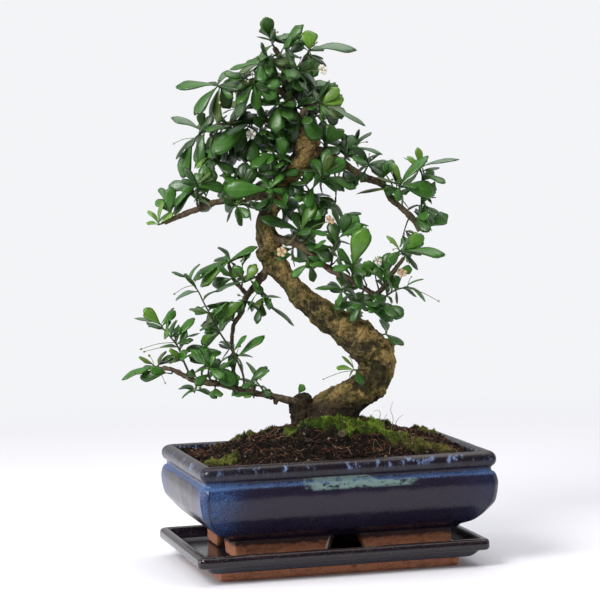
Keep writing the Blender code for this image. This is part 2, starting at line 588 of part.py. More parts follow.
def make_soil(cutters):
    """The soil: it fills the pot, rises to the trunk and is cut clear of the trunk and the mesh."""
    earth = finish("soil", (0.05, 0.035, 0.02), 0.95)
    profile = [(inset + GAP + 0.2, height) for inset, height in reversed(POT_INSIDE[2:])]
    profile[0] = (profile[0][0], profile[0][1] + GAP)
    profile.append((POT_INSIDE[1][0] + GAP + 0.2, SOIL_EDGE - 2))
    rings = walls((RIM_LENGTH, RIM_WIDTH), POT_CORNER, profile, 0, (2, 1))
    edge = rings[-1]
    middle = at(TRUNK_FOOT[0], 0, TRUNK_FOOT[1])
    half_length, half_width = max(p.x for p in edge), max(p.y for p in edge)
    for reach in SOIL_RINGS:
        ring = []
        for k, p in enumerate(edge):
            away = (Vector((p.x, p.y, 0)) - middle) * reach * 0.985
            bump = 1.4 * math.sin(2.7 * k + 9 * reach) * (1 - reach)
            height = soil_height(away.x / half_length, away.y / half_width) + bump
            ring.append(middle + away + UP * height * MM)
        rings.append(ring)
    soil = solid("soil", loft(rings), earth)
    size = (MESH_SIZE[0] + 2 * GAP, MESH_SIZE[1] + 2 * GAP, 2 * (MESH_THICK + 2 * GAP))
    pocket = solid("pocket", block(size, (0, 0, POT_INSIDE[-1][1])), earth)
    holes = [solid("hole", cutter, earth) for cutter in cutters]
    return combine(soil, [pocket, *holes], "DIFFERENCE")


def route(points, step):
    """A smooth run through the points (Catmull-Rom), with a row for each step of its length."""
    rows = [np.array(p, float) for p in points]
    rows = [2 * rows[0] - rows[1], *rows, 2 * rows[-1] - rows[-2]]
    run = []
    for a, b, c, d in zip(rows, rows[1:], rows[2:], rows[3:]):
        count = max(1, round(float(np.linalg.norm((c - b)[:3])) / step))
        for t in np.arange(count) / count:
            run.append(0.5 * (2 * b + (c - a) * t + (2 * a - 5 * b + 4 * c - d) * t * t
                              + (3 * b - a - 3 * c + d) * t ** 3))
    return [*run, rows[-2]]


def tube(rows, sides, lumps=0.0, grow=0.0):
    """A closed tube along rows of (across, up, back, radius), with bark lumps and flat ends."""
    centres = [at(*row[:3]) for row in rows]
    tangent = (centres[1] - centres[0]).normalized()
    centres[0] -= tangent * grow * MM
    side = tangent.orthogonal().normalized()
    rings = []
    for i, centre in enumerate(centres):
        ahead = (centres[min(i + 1, len(rows) - 1)] - centres[max(i - 1, 0)]).normalized()
        side = (side - ahead * side.dot(ahead)).normalized()
        other = ahead.cross(side)
        ring = []
        for k in range(sides):
            angle = math.tau * k / sides
            wave = lumps * (math.sin(3 * angle + 0.9 * i) + 0.7 * math.sin(2 * angle - 1.7 * i))
            radius = (rows[i][3] * (1 + wave) + grow) * MM
            ring.append(centre + (side * math.cos(angle) + other * math.sin(angle)) * radius)
        rings.append(ring)
    return outward(split_quads(loft(rings)))


def ball(across, up, back, radius, sides=6):
    """A low knob of wood: a rounded tube standing upright."""
    heights = [(-0.8, 0.5), (-0.3, 0.95), (0.3, 0.95), (0.8, 0.5)]
    rows = [(across, up + radius * h, back, radius * r) for h, r in heights]
    return tube(rows, sides)


def tree_of(shape):
    """A search tree for overlap tests."""
    return BVHTree.FromPolygons(*shape)


def wood_shapes():
    """Trunk, stump, knobs and branches, by name, as closed tubes that overlap where they join."""
    shapes = {"trunk": tube(route(TRUNK, 10), 10, 0.05), "stump": tube(route(STUMP, 12), 8, 0.06)}
    for i, knob in enumerate(KNOBS):
        shapes[f"knob_{i}"] = ball(*knob)
    for name, points in BRANCHES.items():
        shapes[name] = tube(route(points, 16), 5, 0.03)
    return shapes


def soil_cutters():
    """Slightly larger copies of the wood that stands in the soil."""
    foot = [tube(route(TRUNK, 10)[:6], 10, 0.05, HOLE_GAP), tube(route(STUMP, 12), 8, 0.06, HOLE_GAP)]
    return foot + [ball(a, u, b, r + HOLE_GAP) for a, u, b, r in KNOBS if u < SOIL_EDGE + SOIL_RISE]


def nearest_wood(point):
    """The nearest place on the trunk or a branch: point, direction, the run's name, and if it is its end."""
    best = None
    for name, rows in {"trunk": TRUNK, **BRANCHES}.items():
        run = [at(*row[:3]) for row in route(rows, 4)]
        for i, p in enumerate(run):
            away = (p - point).length
            if best is None or away < best[0]:
                ahead = (run[min(i + 1, len(run) - 1)] - run[max(i - 1, 0)]).normalized()
                best = (away, p, ahead, name, i == len(run) - 1 and name != "trunk")
    return best[1:]


def stem_route(points, wood):
    """The stem's centre line from just off the bark: square to it, or on from the end of a branch."""
    foot, ahead, name, is_end = nearest_wood(at(*points[0]))
    later = [at(*p) for p in points[1:]]
    if is_end:
        out = ahead
    else:
        aim = later[0] - foot
        out = (aim - ahead * aim.dot(ahead)).normalized()
    bark, _, _, _ = wood[name].ray_cast(foot + out * RAY * MM, -out, 2 * RAY * MM)
    start = bark + out * STEM_GAP * MM
    line = [start, start + out * 2 * MM]
    line += [p for p in later if (p - start).length > 2.5 * MM]
    if len(line) == 2:
        line.append(start + out * 5 * MM)
    return [Vector(row) for row in route(line, STEM_STEP * MM)]


def seen(point, radius):
    """A world point as a (across, up, back, radius) row."""
    return (point.dot(ACROSS) / MM, point.z / MM, point.dot(BACK) / MM, radius)


def stem_shape(line):
    """A square tube along the stem, thinner at its tip."""
    rows = [seen(p, STEM_RADIUS[0]) for p in line[:-1]]
    return tube([*rows, seen(line[-1], STEM_RADIUS[1])], STEM_SIDES)


def along_stem(line, share):
    """A point on the stem's centre line, kept clear of both its ends, and the line's direction there."""
    lengths = [(b - a).length for a, b in zip(line, line[1:])]
    total = sum(lengths)
    reach = min(max(share * total, 2.2 * MM), total - 1.2 * MM)
    for (a, b), length in zip(zip(line, line[1:]), lengths):
        if reach <= length:
            break
        reach -= length
    return a.lerp(b, reach / length), (b - a).normalized()


def leaf_shape(root, tip, normal, width, grow=0.0):
    """A blunt leaf: a foot sunk in the stem, rows of edge, rib, edge and underside, and three teeth."""
    length = (tip - root).length
    ahead = (tip - root).normalized()
    normal = (normal - ahead * normal.dot(ahead)).normalized()
    side = ahead.cross(normal)
    half = (width / 2 + grow) * MM
    thick = (LEAF_THICK / 2 + grow) * MM
    rows = LARGE_ROWS if length > SMALL_LEAF * MM else SMALL_ROWS

    def place(share, out, lift):
        arch = LEAF_ARCH * length * 4 * share * (1 - share)
        return root + ahead * length * share + side * out + normal * (arch + lift)

    points = [root - ahead * LEAF_SUNK * MM]
    for share, wide in rows:
        droop = -EDGE_DROOP * half * wide
        points += [place(share, -half * wide, droop), place(share, 0, thick)]
        points += [place(share, half * wide, droop), place(share, 0, -thick)]
    droop = -EDGE_DROOP * half
    tooth = half * TOOTH[1]
    points += [place(TOOTH[0], -tooth, droop), place(1, 0, 0), place(TOOTH[0], tooth, droop)]
    faces = [(0, 1, 2), (0, 2, 3), (0, 3, 4), (0, 4, 1)]
    for r in range(len(rows) - 1):
        a, b = 4 * r + 1, 4 * r + 5
        for left, rib in ((0, 1), (2, 1)):
            faces += [(a + left, a + rib, b + rib), (a + left, b + rib, b + left)]
            faces += [(a + left, b + 3, a + 3), (a + left, b + left, b + 3)]
    a, t = 4 * len(rows) - 3, 4 * len(rows) + 1
    for left, tooth in ((0, t), (2, t + 2)):
        faces += [(a + left, a + 1, tooth), (a + 1, t + 1, tooth)]
        faces += [(a + left, tooth, a + 3), (a + 3, tooth, t + 1)]
    return points, mend_winding(faces)


def mend_winding(faces):
    """The faces turned so that each shared edge runs both ways, starting from the first face."""
    edges = {}
    for i, f in enumerate(faces):
        for a, b in zip(f, f[1:] + f[:1]):
            edges.setdefault(frozenset((a, b)), []).append(i)
    done, queue = {0: faces[0]}, [0]
    while queue:
        i = queue.pop()
        f = done[i]
        for a, b in zip(f, f[1:] + f[:1]):
            for j in edges[frozenset((a, b))]:
                if j not in done:
                    g = faces[j]
                    same = (a, b) in zip(g, g[1:] + g[:1])
                    done[j] = tuple(reversed(g)) if same else g
                    queue.append(j)
    return [done[i] for i in range(len(faces))]


class Leaves:
    """Places each leaf so that it crosses no wood, no other stem and no other leaf."""

    def __init__(self, wood, stems):
        self.wood = wood
        self.stems = stems
        self.placed = []
        self.left_out = []

    def is_clear(self, spray, shape):
        """Whether a slightly fatter copy of the leaf is free; the part at its own stem isn't tested there."""
        points, faces = shape
        whole = BVHTree.FromPolygons(points, faces)
        blade = BVHTree.FromPolygons(points, [f for f in faces if min(f) > 0])
        if any(whole.overlap(tree) for tree in self.wood.values()):
            return False
        if any(name != spray and whole.overlap(tree) for name, tree in self.stems.items()):
            return False
        for name, other_whole, other_blade in self.placed:
            if (blade.overlap(other_blade) if name == spray else whole.overlap(other_whole)):
                return False
        return True

    def place(self, spray, root, tip_seen, width, tone):
        """The first of the allowed tilts and sizes at which the leaf is clear, or None.

        A leaf that looks shorter than leaves are points towards the viewer or away by that much.
        """
        flat = tip_seen - root
        flat -= BACK * flat.dot(BACK)
        likely = rng.uniform(*LEAF_LENGTHS) * (NEW_LEAF if tone == "new" else 1) * MM
        first = math.degrees(math.acos(min(1, flat.length / likely))) + rng.uniform(0, 14)
        first *= rng.choice((-1, 1, 1))
        rise = ACROSS * -flat.dot(UP) + UP * flat.dot(ACROSS)
        rise = rise.normalized() if rise.z >= 0 else -rise.normalized()
        for shrink in SHRINKS:
            for turn in TURNS:
                tilt = math.radians(max(-TILT_MOST, min(TILT_MOST, first + turn)))
                reach = min(flat.length / math.cos(tilt), LEAF_MOST * MM) * shrink
                ahead = flat.normalized() * math.cos(tilt) + BACK * math.sin(tilt)
                full = max(width, LEAF_SHAPE * reach / MM)
                roll = math.acos(min(1, width / full))
                normal = -BACK * math.cos(roll) + rise * math.sin(roll) + UP * 0.25
                tip = root + ahead * reach
                if self.is_clear(spray, leaf_shape(root, tip, normal, full * shrink, CLEARANCE / 2)):
                    shape = outward(leaf_shape(root, tip, normal, full * shrink))
                    points, faces = shape
                    blade = BVHTree.FromPolygons(points, [f for f in faces if min(f) > 0])
                    self.placed.append((spray, tree_of(shape), blade))
                    return shape
        self.left_out.append(spray)
        return None


def bud_shapes(line, share, place):
    """A flower bud on its thin stalk."""
    root, _ = along_stem(line, share)
    spot = at(*place)
    middle = root.lerp(spot, 0.5) + UP * 1.5 * MM
    rows = [seen(p, PEDUNCLE_RADIUS) for p in (root, middle, spot)]
    across, up, back = place
    bud = [(across, up - 1.8, back, 0.7), (across, up, back, 1.7), (across, up + 2, back, 0.6)]
    return [tube(rows, 3), tube(bud, 5)]


def bloom_shapes(line, share, place):
    """A small five-petalled flower facing out and up, on a stalk that starts just off its stem."""
    root, ahead = along_stem(line, share)
    spot = at(*place)
    facing = (-BACK + UP * 0.5 + (spot - root).normalized()).normalized()
    behind = spot - facing * 3 * MM
    out = behind - root
    out = (out - ahead * out.dot(ahead)).normalized()
    start = root + out * (STEM_RADIUS[0] + STEM_GAP) * MM
    line_points = (start, start + out * 2 * MM, start.lerp(behind, 0.6) + UP * MM, behind)
    rows = [seen(p, PEDUNCLE_RADIUS) for p in line_points]
    heart = [seen(behind - facing * 0.5 * MM, 0.8), seen(spot, 1.5), seen(spot + facing * 1.5 * MM, 0.8)]
    shapes = [tube(heart, 5), tube(rows, 3)]
    side = facing.orthogonal().normalized()
    for k in range(PETALS):
        petal = Matrix.Rotation(math.tau * k / PETALS, 3, facing) @ side
        tip = spot + (petal * PETAL[0] + facing * 1.2) * MM
        shapes.append(outward(leaf_shape(spot + petal * 0.4 * MM, tip, facing, PETAL[1])))
    return shapes


def main():
    for thing in list(bpy.data.objects):
        bpy.data.objects.remove(thing, do_unlink=True)
    make_pot()
    make_saucer()
    make_drain_mesh()
    make_soil(soil_cutters())
    shapes = wood_shapes()
    fuse("tree", list(shapes.values()), finish("bark", (0.2, 0.13, 0.06), 0.85))
    wood = {name: tree_of(shape) for name, shape in shapes.items()}
    lines = {name: stem_route(points, wood) for name, (points, _) in SPRAYS.items()}
    stems = {name: stem_shape(line) for name, line in lines.items()}
    leaves = Leaves(wood, {name: tree_of(shape) for name, shape in stems.items()})
    blooms = {name: bloom_shapes(lines[spray], share, place)
              for name, (spray, share, place) in BLOOMS.items()}
    for name, pieces in blooms.items():
        leaves.placed += [(name, tree_of(shape), None) for shape in pieces]
    sprays = {name: [shape] for name, shape in stems.items()}
    for name, (_, rows) in SPRAYS.items():
        for share, across, up, width, tone in rows:
            root, _ = along_stem(lines[name], share)
            shape = leaves.place(name, root, at(across, up, 0), width, tone)
            if shape:
                sprays[name].append(shape)
    for name, line in lines.items():
        root, _ = along_stem(line, rng.uniform(0.5, 1))
        angle = rng.uniform(0, math.tau)
        tip = root + (ACROSS * math.cos(angle) + UP * math.sin(angle)) * INNER_REACH * MM
        shape = leaves.place(name, root, tip, INNER_WIDTH, "dark")
        if shape:
            sprays[name].append(shape)
    for name, share, place in BUDS:
        sprays[name] += bud_shapes(lines[name], share, place)
    green = finish("leaf", (0.035, 0.12, 0.03), 0.35, 0.3)
    for name, shapes in sprays.items():
        fuse("leaves_" + name, shapes, green)
    petal = finish("petal", (0.75, 0.68, 0.6), 0.5)
    for name, pieces in blooms.items():
        fuse(name, pieces, petal)
    print("leaves placed", len(leaves.placed), "left out", leaves.left_out)


main()
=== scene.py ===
# %% [markdown]
# # A fukien tea bonsai in a glazed pot
# This script dresses the packed solids of a small flowering tree: the pot, its saucer, the soil, the
# wood and about fifty leafy stems. The solids already have the real sizes and places, so each cell
# below only has to make one real piece finer, on the spot where its solid stands.
# Lengths are written in millimetres and turned into Blender's metres by MM. Many places are given as
# (across, up, back): across the picture, up from the table, and back from the pot's middle.

import math
import random

import bpy
import numpy as np
from mathutils import Matrix, Vector
from mathutils.bvhtree import BVHTree


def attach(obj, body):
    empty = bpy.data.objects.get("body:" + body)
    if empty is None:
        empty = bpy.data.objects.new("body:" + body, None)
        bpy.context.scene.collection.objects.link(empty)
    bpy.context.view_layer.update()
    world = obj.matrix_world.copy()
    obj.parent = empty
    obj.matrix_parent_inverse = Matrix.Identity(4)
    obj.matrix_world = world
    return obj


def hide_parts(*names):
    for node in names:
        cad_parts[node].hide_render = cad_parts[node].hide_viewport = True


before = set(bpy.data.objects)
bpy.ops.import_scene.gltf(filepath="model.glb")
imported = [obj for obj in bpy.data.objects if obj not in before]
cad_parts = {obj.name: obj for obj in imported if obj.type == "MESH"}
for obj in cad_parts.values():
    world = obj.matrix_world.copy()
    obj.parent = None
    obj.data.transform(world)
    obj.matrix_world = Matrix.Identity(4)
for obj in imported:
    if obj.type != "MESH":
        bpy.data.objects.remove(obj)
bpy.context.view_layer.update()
MM = 0.001

# %% [markdown]
# ## The camera
# The photograph was taken from far off with a long lens, a little above the rim of the pot, with the
# pot's long side turned 14 degrees. The camera could be aimed with a constraint, but three angles and
# one place say exactly how it stood, and its matrix can be written down from them.

# %% Camera
CAMERA_PLACE = (-20.7, 368.4, -2101.1)
CAMERA_TURN = math.radians(14.06)
CAMERA_DOWN = math.radians(3.74)
CAMERA_ROLL = math.radians(-1.53)
LENS = 144
SENSOR = 36
VIEW_TURN = math.radians(14)
ACROSS = Vector((math.cos(VIEW_TURN), -math.sin(VIEW_TURN), 0))
BACK = Vector((math.sin(VIEW_TURN), math.cos(VIEW_TURN), 0))
UP = Vector((0, 0, 1))


def at(across, up, back):
    """The world point, in metres, of a place given as across, up and back."""
    return (ACROSS * across + BACK * back + UP * up) * MM


level = Vector((math.cos(CAMERA_TURN), -math.sin(CAMERA_TURN), 0))
ahead = Vector((math.sin(CAMERA_TURN) * math.cos(CAMERA_DOWN),
                math.cos(CAMERA_TURN) * math.cos(CAMERA_DOWN), -math.sin(CAMERA_DOWN)))
over = level.cross(ahead)
right = level * math.cos(CAMERA_ROLL) + over * math.sin(CAMERA_ROLL)
top = over * math.cos(CAMERA_ROLL) - level * math.sin(CAMERA_ROLL)
camera_data = bpy.data.cameras.new("camera")
camera_data.lens = LENS
camera_data.sensor_width = SENSOR
camera_data.clip_end = 30
camera = bpy.data.objects.new("camera", camera_data)
bpy.context.scene.collection.objects.link(camera)
camera.matrix_world = (Matrix.Translation(at(*CAMERA_PLACE))
                       @ Matrix((right, top, -ahead)).transposed().to_4x4())
bpy.context.scene.camera = camera
print("camera stands", round((at(*CAMERA_PLACE) - at(0, 240, 0)).length, 2), "m from the tree")

# %% [markdown]
# ## Writing materials as sums
# A material is a net of small nodes. Wiring each by hand hides the thought, so a socket is wrapped in
# a class that takes part in ordinary Python sums: adding two sockets adds the Math node for it.
# Every other node comes from one method, which sets the node's own settings first.

# %% Shader sockets in Python sums


def joining(operation, swapped=False):
    """A method that joins a socket and another socket or number by one Math node."""
    def method(self, other):
        return self.math(operation, other, self) if swapped else self.math(operation, self, other)
    return method


class Value:
    """A node's output that can be added, subtracted, multiplied and raised as a number can."""

    def __init__(self, net, socket):
        self.net, self.socket = net, socket

    def math(self, operation, *numbers):
        """A Math node over sockets and numbers."""
        return self.net.node("ShaderNodeMath", {"operation": operation}, dict(enumerate(numbers)))

    def step(self, low, high, start=0.0, end=1.0):
        """A soft step: start below low, end above high, and a smooth S between."""
        settings = {"interpolation_type": "SMOOTHSTEP"}
        sockets = {0: self, 1: low, 2: high, 3: start, 4: end}
        return self.net.node("ShaderNodeMapRange", settings, sockets)

    def band(self, start, full, fading, end):
        """1 from full to fading, with a soft step up from start and another down to end."""
        return self.step(start, full) * self.step(end, fading)

    def __abs__(self):
        return self.math("ABSOLUTE", self)

    __add__, __radd__ = joining("ADD"), joining("ADD", True)
    __sub__, __rsub__ = joining("SUBTRACT"), joining("SUBTRACT", True)
    __mul__, __rmul__ = joining("MULTIPLY"), joining("MULTIPLY", True)
    __pow__ = joining("POWER")


class Net:
    """The nodes of a material or of the sky."""

    def __init__(self, owner):
        owner.use_nodes = True
        self.tree = owner.node_tree

    def node(self, kind, settings=None, sockets=None, out=0):
        """A node of a type, with its settings, then the values or links of its sockets."""
        made = self.tree.nodes.new(kind)
        for name, value in (settings or {}).items():
            if name == "stops":
                elements = made.color_ramp.elements
                while len(elements) < len(value):
                    elements.new(1)
                for element, (place, colour) in zip(elements, value):
                    element.position = place
                    element.color = (*colour, 1)
            else:
                setattr(made, name, value)
        for name, value in (sockets or {}).items():
            if isinstance(value, Value):
                self.tree.links.new(value.socket, made.inputs[name])
            elif isinstance(value, tuple) and len(made.inputs[name].default_value) == 4:
                made.inputs[name].default_value = (*value, 1)
            else:
                made.inputs[name].default_value = value
        return Value(self, made.outputs[out])


class Paint(Net):
    """A material being made: one Principled shader and the nodes that feed it."""

    def __init__(self, name, **constants):
        self.material = bpy.data.materials.new(name)
        super().__init__(self.material)
        self.shader = self.tree.nodes["Principled BSDF"]
        for socket, value in constants.items():
            self.shader.inputs[socket.replace("_", " ")].default_value = value
        self.place = self.node("ShaderNodeTexCoord", out="Object")

    def axes(self, point):
        """The three numbers of a point, as separate values."""
        split = self.node("ShaderNodeSeparateXYZ", {}, {0: point})
        return [Value(self, socket) for socket in split.socket.node.outputs]

    def noise(self, size, detail=3.0, roughness=0.5, warp=0.0, stretch=None):
        """Cloudy noise, 0 to 1, whose blobs are about the given size in metres, on axes that are
        multiplied by the stretch if one is given."""
        sockets = {"Vector": self.place, "Scale": 1 / size, "Detail": detail, "Roughness": roughness,
                   "Distortion": warp}
        if stretch:
            sockets["Vector"] = self.node("ShaderNodeVectorMath", {"operation": "MULTIPLY"},
                                          {0: self.place, 1: stretch})
        return self.node("ShaderNodeTexNoise", {}, sockets)

    def cells(self, size):
        """Distance within a pattern of cells of about the given size in metres."""
        return self.node("ShaderNodeTexVoronoi", {}, {"Vector": self.place, "Scale": 1 / size}, "Distance")

    def mix(self, share, first, second):
        """Two colours mixed by a share."""
        settings = {"data_type": "RGBA"}
        return self.node("ShaderNodeMix", settings, {0: share, 6: first, 7: second}, 2)

    def grained(self, value, low, high, dark, light):
        """The dark colour below low, the light one above high."""
        return self.mix(value.step(low, high), dark, light)

    def coats(self, colour, *layers):
        """A ground colour under layers of (share, colour), each laid over the ones before."""
        for share, coat in layers:
            colour = self.mix(share, colour, coat)
        return colour

    def ramp(self, value, *stops):
        """A colour that runs through stops of (number, colour)."""
        return self.node("ShaderNodeValToRGB", {"stops": stops}, {0: value})

    def field(self, name):
        """A number that is stored on the piece's points."""
        return self.node("ShaderNodeAttribute", {"attribute_name": name}, {}, "Fac")

    def bump(self, height, distance, strength=1.0):
        """A normal bent by a height from 0 to 1 over the given depth in metres."""
        sockets = {"Height": height, "Distance": distance, "Strength": strength}
        return self.node("ShaderNodeBump", {}, sockets)

    def wear(self, **links):
        """Links values to the shader's sockets, and gives the finished material."""
        for name, value in links.items():
            self.tree.links.new(value.socket, self.shader.inputs[name.replace("_", " ")])
        return self.material


print("a paint has", len(Paint.__dict__), "methods, a value", len(Value.__dict__))

# %% [markdown]
# ## Shapes as arrays
# Every new piece is a surface over a grid: row and column numbers go in, points come out, and numpy
# works out the whole array at once. Two things are needed again and again: steady noise to make a
# surface uneven, and a way to turn arrays of points and faces into a Blender mesh.

# %% Steady noise for arrays of points
GRAIN_MIX = np.array([374761393, 668265263, 1440662683], np.int64)


def lattice(cells, seed):
    """A random number from 0 to 1 for each whole-number cell: its three numbers multiplied by large
    primes, added, and the bits folded over twice."""
    mixed = cells @ GRAIN_MIX + seed * 974634777
    mixed = (mixed ^ (mixed >> 13)) * 1274126177
    return ((mixed ^ (mixed >> 16)) & 0xFFFFF) / 0xFFFFF


def grain(points, size, seed=0):
    """Value noise from -1 to 1: the lattice numbers at the eight corners of each point's cell, mixed
    by the smooth step 3t^2 - 2t^3 along each axis."""
    scaled = np.asarray(points, float) / (size * MM)
    corner = np.floor(scaled).astype(np.int64)
    t = scaled - corner
    t = t * t * (3 - 2 * t)
    total = np.zeros(scaled.shape[:-1])
    for offset in np.ndindex(2, 2, 2):
        share = np.prod(np.where(offset, t, 1 - t), axis=-1)
        total += share * lattice(corner + np.array(offset), seed)
    return 2 * total - 1


def rough(points, size, layers, seed=0):
    """Noise in layers: each has half the size and half the height of the one before."""
    return sum(grain(points, size / 2 ** k, seed + 7 * k) / 2 ** k for k in range(layers))


print("noise at the pot's middle:", round(float(rough(np.zeros(3), 10, 3)), 2))

# %% Points and faces into a mesh
ROOT = "root"


def grid_faces(rows, columns, round_columns=False):
    """Four corner numbers for each cell of a grid of points, with the columns joined round or not."""
    r = np.arange(rows - 1)[:, None]
    c = np.arange(columns if round_columns else columns - 1)[None, :]
    after = (c + 1) % columns
    cells = (r * columns + c, r * columns + after, (r + 1) * columns + after, (r + 1) * columns + c)
    return np.stack(np.broadcast_arrays(*cells), -1).reshape(-1, 4)


def two_sided(rows, columns):
    """Faces of a closed sheet: an upper grid, and a lower one that shares its whole outline.

    The lower side's inner points come after the upper side's points.
    """
    upper = np.arange(rows * columns).reshape(rows, columns)
    lower = upper.copy()
    lower[1:-1, 1:-1] = rows * columns + np.arange((rows - 2) * (columns - 2)).reshape(rows - 2, -1)
    cells = grid_faces(rows, columns)
    return np.concatenate([cells, lower.reshape(-1)[cells][:, ::-1]])


def repeated(faces, count, points_each):
    """The same faces for each of a number of copies whose points follow one another."""
    return (faces[None] + (np.arange(count) * points_each)[:, None, None]).reshape(-1, faces.shape[1])


def capped_faces(rings, around):
    """Faces of a closed tube: a grid of rings, then a fan to a first and a last pole point."""
    quads = grid_faces(rings, around, True)
    ring = np.arange(around)
    after = (ring + 1) % around
    first, last = rings * around, rings * around + 1
    end = (rings - 1) * around
    fans = np.concatenate([np.stack([after, ring, np.full(around, first)], -1),
                           np.stack([end + ring, end + after, np.full(around, last)], -1)])
    return np.concatenate([quads, np.concatenate([fans, fans[:, 2:]], 1)])


def with_poles(rings):
    """A tube's points, rings first, then the middle of its first and its last ring."""
    return np.concatenate([rings.reshape(-1, 3), rings[:1].mean(1), rings[-1:].mean(1)])


def piece(name, points, faces, material, stands_for=(), fields=None, uv=None, smooth=True):
    """A finished piece: points and faces go into a mesh in whole arrays, and it rides on the frame.

    A face whose last two corners are equal is a triangle.
    """
    points = np.asarray(points, np.float32).reshape(-1, 3)
    three = faces[:, 2] == faces[:, 3]
    corners = np.concatenate([faces[~three].ravel(), faces[three][:, :3].ravel()]).astype(np.int32)
    counts = np.concatenate([np.full((~three).sum(), 4), np.full(three.sum(), 3)])
    starts = np.concatenate([[0], np.cumsum(counts)[:-1]]).astype(np.int32)
    mesh = bpy.data.meshes.new(name)
    mesh.vertices.add(len(points))
    mesh.vertices.foreach_set("co", points.ravel())
    mesh.loops.add(len(corners))
    mesh.loops.foreach_set("vertex_index", corners)
    mesh.polygons.add(len(starts))
    mesh.polygons.foreach_set("loop_start", starts)
    mesh.update(calc_edges=True)
    for field, values in (fields or {}).items():
        mesh.attributes.new(field, "FLOAT", "POINT").data.foreach_set(
            "value", np.asarray(values, np.float32).ravel())
    if uv is not None:
        flat = np.asarray(uv, np.float32).reshape(-1, 2)[corners]
        mesh.uv_layers.new(name="UVMap").data.foreach_set("uv", flat.ravel())
    mesh.polygons.foreach_set("use_smooth", np.full(len(starts), smooth))
    mesh.materials.append(material)
    thing = bpy.data.objects.new(name, mesh)
    bpy.context.scene.collection.objects.link(thing)
    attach(thing, ROOT)
    if stands_for:
        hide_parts(*stands_for)
    return thing


def faces_of(thing):
    """How many triangles the piece has."""
    return sum(len(face.vertices) - 2 for face in thing.data.polygons)


print("a grid of 3 by 4 points has", len(grid_faces(3, 4)), "faces")

# %% [markdown]
# ## The table and the light
# The tree was shown against plain white, in soft daylight from the front left. An upright backdrop
# would hide it from behind, so one large pale floor fades into the sky's own white further out, as a
# paper sweep does, and no edge shows from any side.
# One strong lamp gives the daylight and its soft shadow, a weaker one the cool sheen on the left of the
# pot, one overhead lights the crown, and a faint one stands for the light that the room throws back.
# Glaze mirrors its surroundings, so the room is bright behind the tree and dim in front of it.

# %% Floor
FLOOR_REACH = 40.0
CORNERS = ((1, 1), (-1, 1), (-1, -1), (1, -1))
TABLE_WHITE = (0.80, 0.79, 0.83)
WALL_WHITE = (0.90, 0.905, 0.93)
BLACK = (0, 0, 0)
SWEEP = (0.42, 1.5)
MIRRORED_FROM = (0.1, 0.5)

bpy.context.scene.view_settings.view_transform = "Standard"
paint = Paint("floor_white", Roughness=0.9, Specular_IOR_Level=0.0, Emission_Strength=1.0)
x, y, _ = paint.axes(paint.place)
far = ((x * x + y * y) ** 0.5).step(*SWEEP)
seen_straight = paint.node("ShaderNodeLightPath", out="Is Camera Ray")
behind = (x * math.sin(VIEW_TURN) + y * math.cos(VIEW_TURN)).step(*MIRRORED_FROM)
glow = paint.mix(far * behind.math("MAXIMUM", seen_straight, behind), BLACK, WALL_WHITE)
paint.wear(Base_Color=paint.mix(far, TABLE_WHITE, BLACK), Emission_Color=glow)
mesh = bpy.data.meshes.new("floor")
mesh.from_pydata([(sx * FLOOR_REACH, sy * FLOOR_REACH, 0) for sx, sy in CORNERS], [], [(2, 3, 0, 1)])
mesh.materials.append(paint.material)
floor = bpy.data.objects.new("floor", mesh)
bpy.context.scene.collection.objects.link(floor)

# %% Lamps and sky
ROOM_BEHIND = ((0.94, 0.96, 1), 0.55)
ROOM_IN_FRONT = ((0.9, 0.93, 1), 0.06)
ROOM_TILT = 0.55
ROOM_DIMS = (-0.15, 0.35)


def lamp(name, place, aim, size, watts, colour, mirrored=True):
    """A square soft lamp at a place, turned to shine on another; glaze may mirror it or not."""
    data = bpy.data.lights.new(name, "AREA")
    data.size = size
    data.energy = watts
    data.color = colour
    thing = bpy.data.objects.new(name, data)
    thing.visible_glossy = mirrored
    bpy.context.scene.collection.objects.link(thing)
    thing.location = place
    thing.rotation_euler = (aim - place).to_track_quat("-Z", "Y").to_euler()


lamp("window", at(-1100, 1500, -1300), at(0, 200, 0), 0.9, 42, (1, 0.985, 0.96))
lamp("side_window", at(-1700, 500, -100), at(0, 120, 0), 1.0, 12, (0.93, 0.95, 1))
lamp("bounce", at(1300, 700, -1100), at(0, 200, 0), 1.2, 7, (1, 0.97, 0.93), mirrored=False)
lamp("ceiling", at(300, 2200, 300), at(0, 100, 0), 2.2, 28, (1, 1, 1))
world = bpy.data.worlds.new("sky")
bpy.context.scene.world = world
sky = Net(world)
facing = sky.node("ShaderNodeVectorMath", {"operation": "DOT_PRODUCT"},
                  {0: sky.node("ShaderNodeTexCoord", out="Generated"), 1: -BACK - UP * ROOM_TILT}, "Value")
wall, room, room_front = (sky.node("ShaderNodeBackground", {}, {"Color": colour, "Strength": strength})
                          for colour, strength in ((WALL_WHITE, 1), ROOM_BEHIND, ROOM_IN_FRONT))
lit = sky.node("ShaderNodeMixShader", {}, {0: facing.step(*ROOM_DIMS), 1: room, 2: room_front})
seen_straight = sky.node("ShaderNodeLightPath", out="Is Camera Ray")
both = sky.node("ShaderNodeMixShader", {}, {0: seen_straight, 1: lit, 2: wall})
sky.tree.links.new(both.socket, sky.tree.nodes["World Output"].inputs["Surface"])
print("floor and", len(bpy.data.lights), "lamps stand")

# %% [markdown]
# ## The pot
# An oblong stoneware pot, pressed in a mould: a rolled rim, a small ledge under it, bellied walls and
# square corners with a crisp ridge. Its wall is one profile carried round a rectangle with round
# corners, out and over the rim and down inside, which is how a potter's template would shape it. The
# dark blue glaze ran while it melted, so it is speckled at the corners and milky on the rim.

# %% The rounded oblong path and the smooth profile
RIM_SIZE = (260, 182)
POT_CORNER = 8
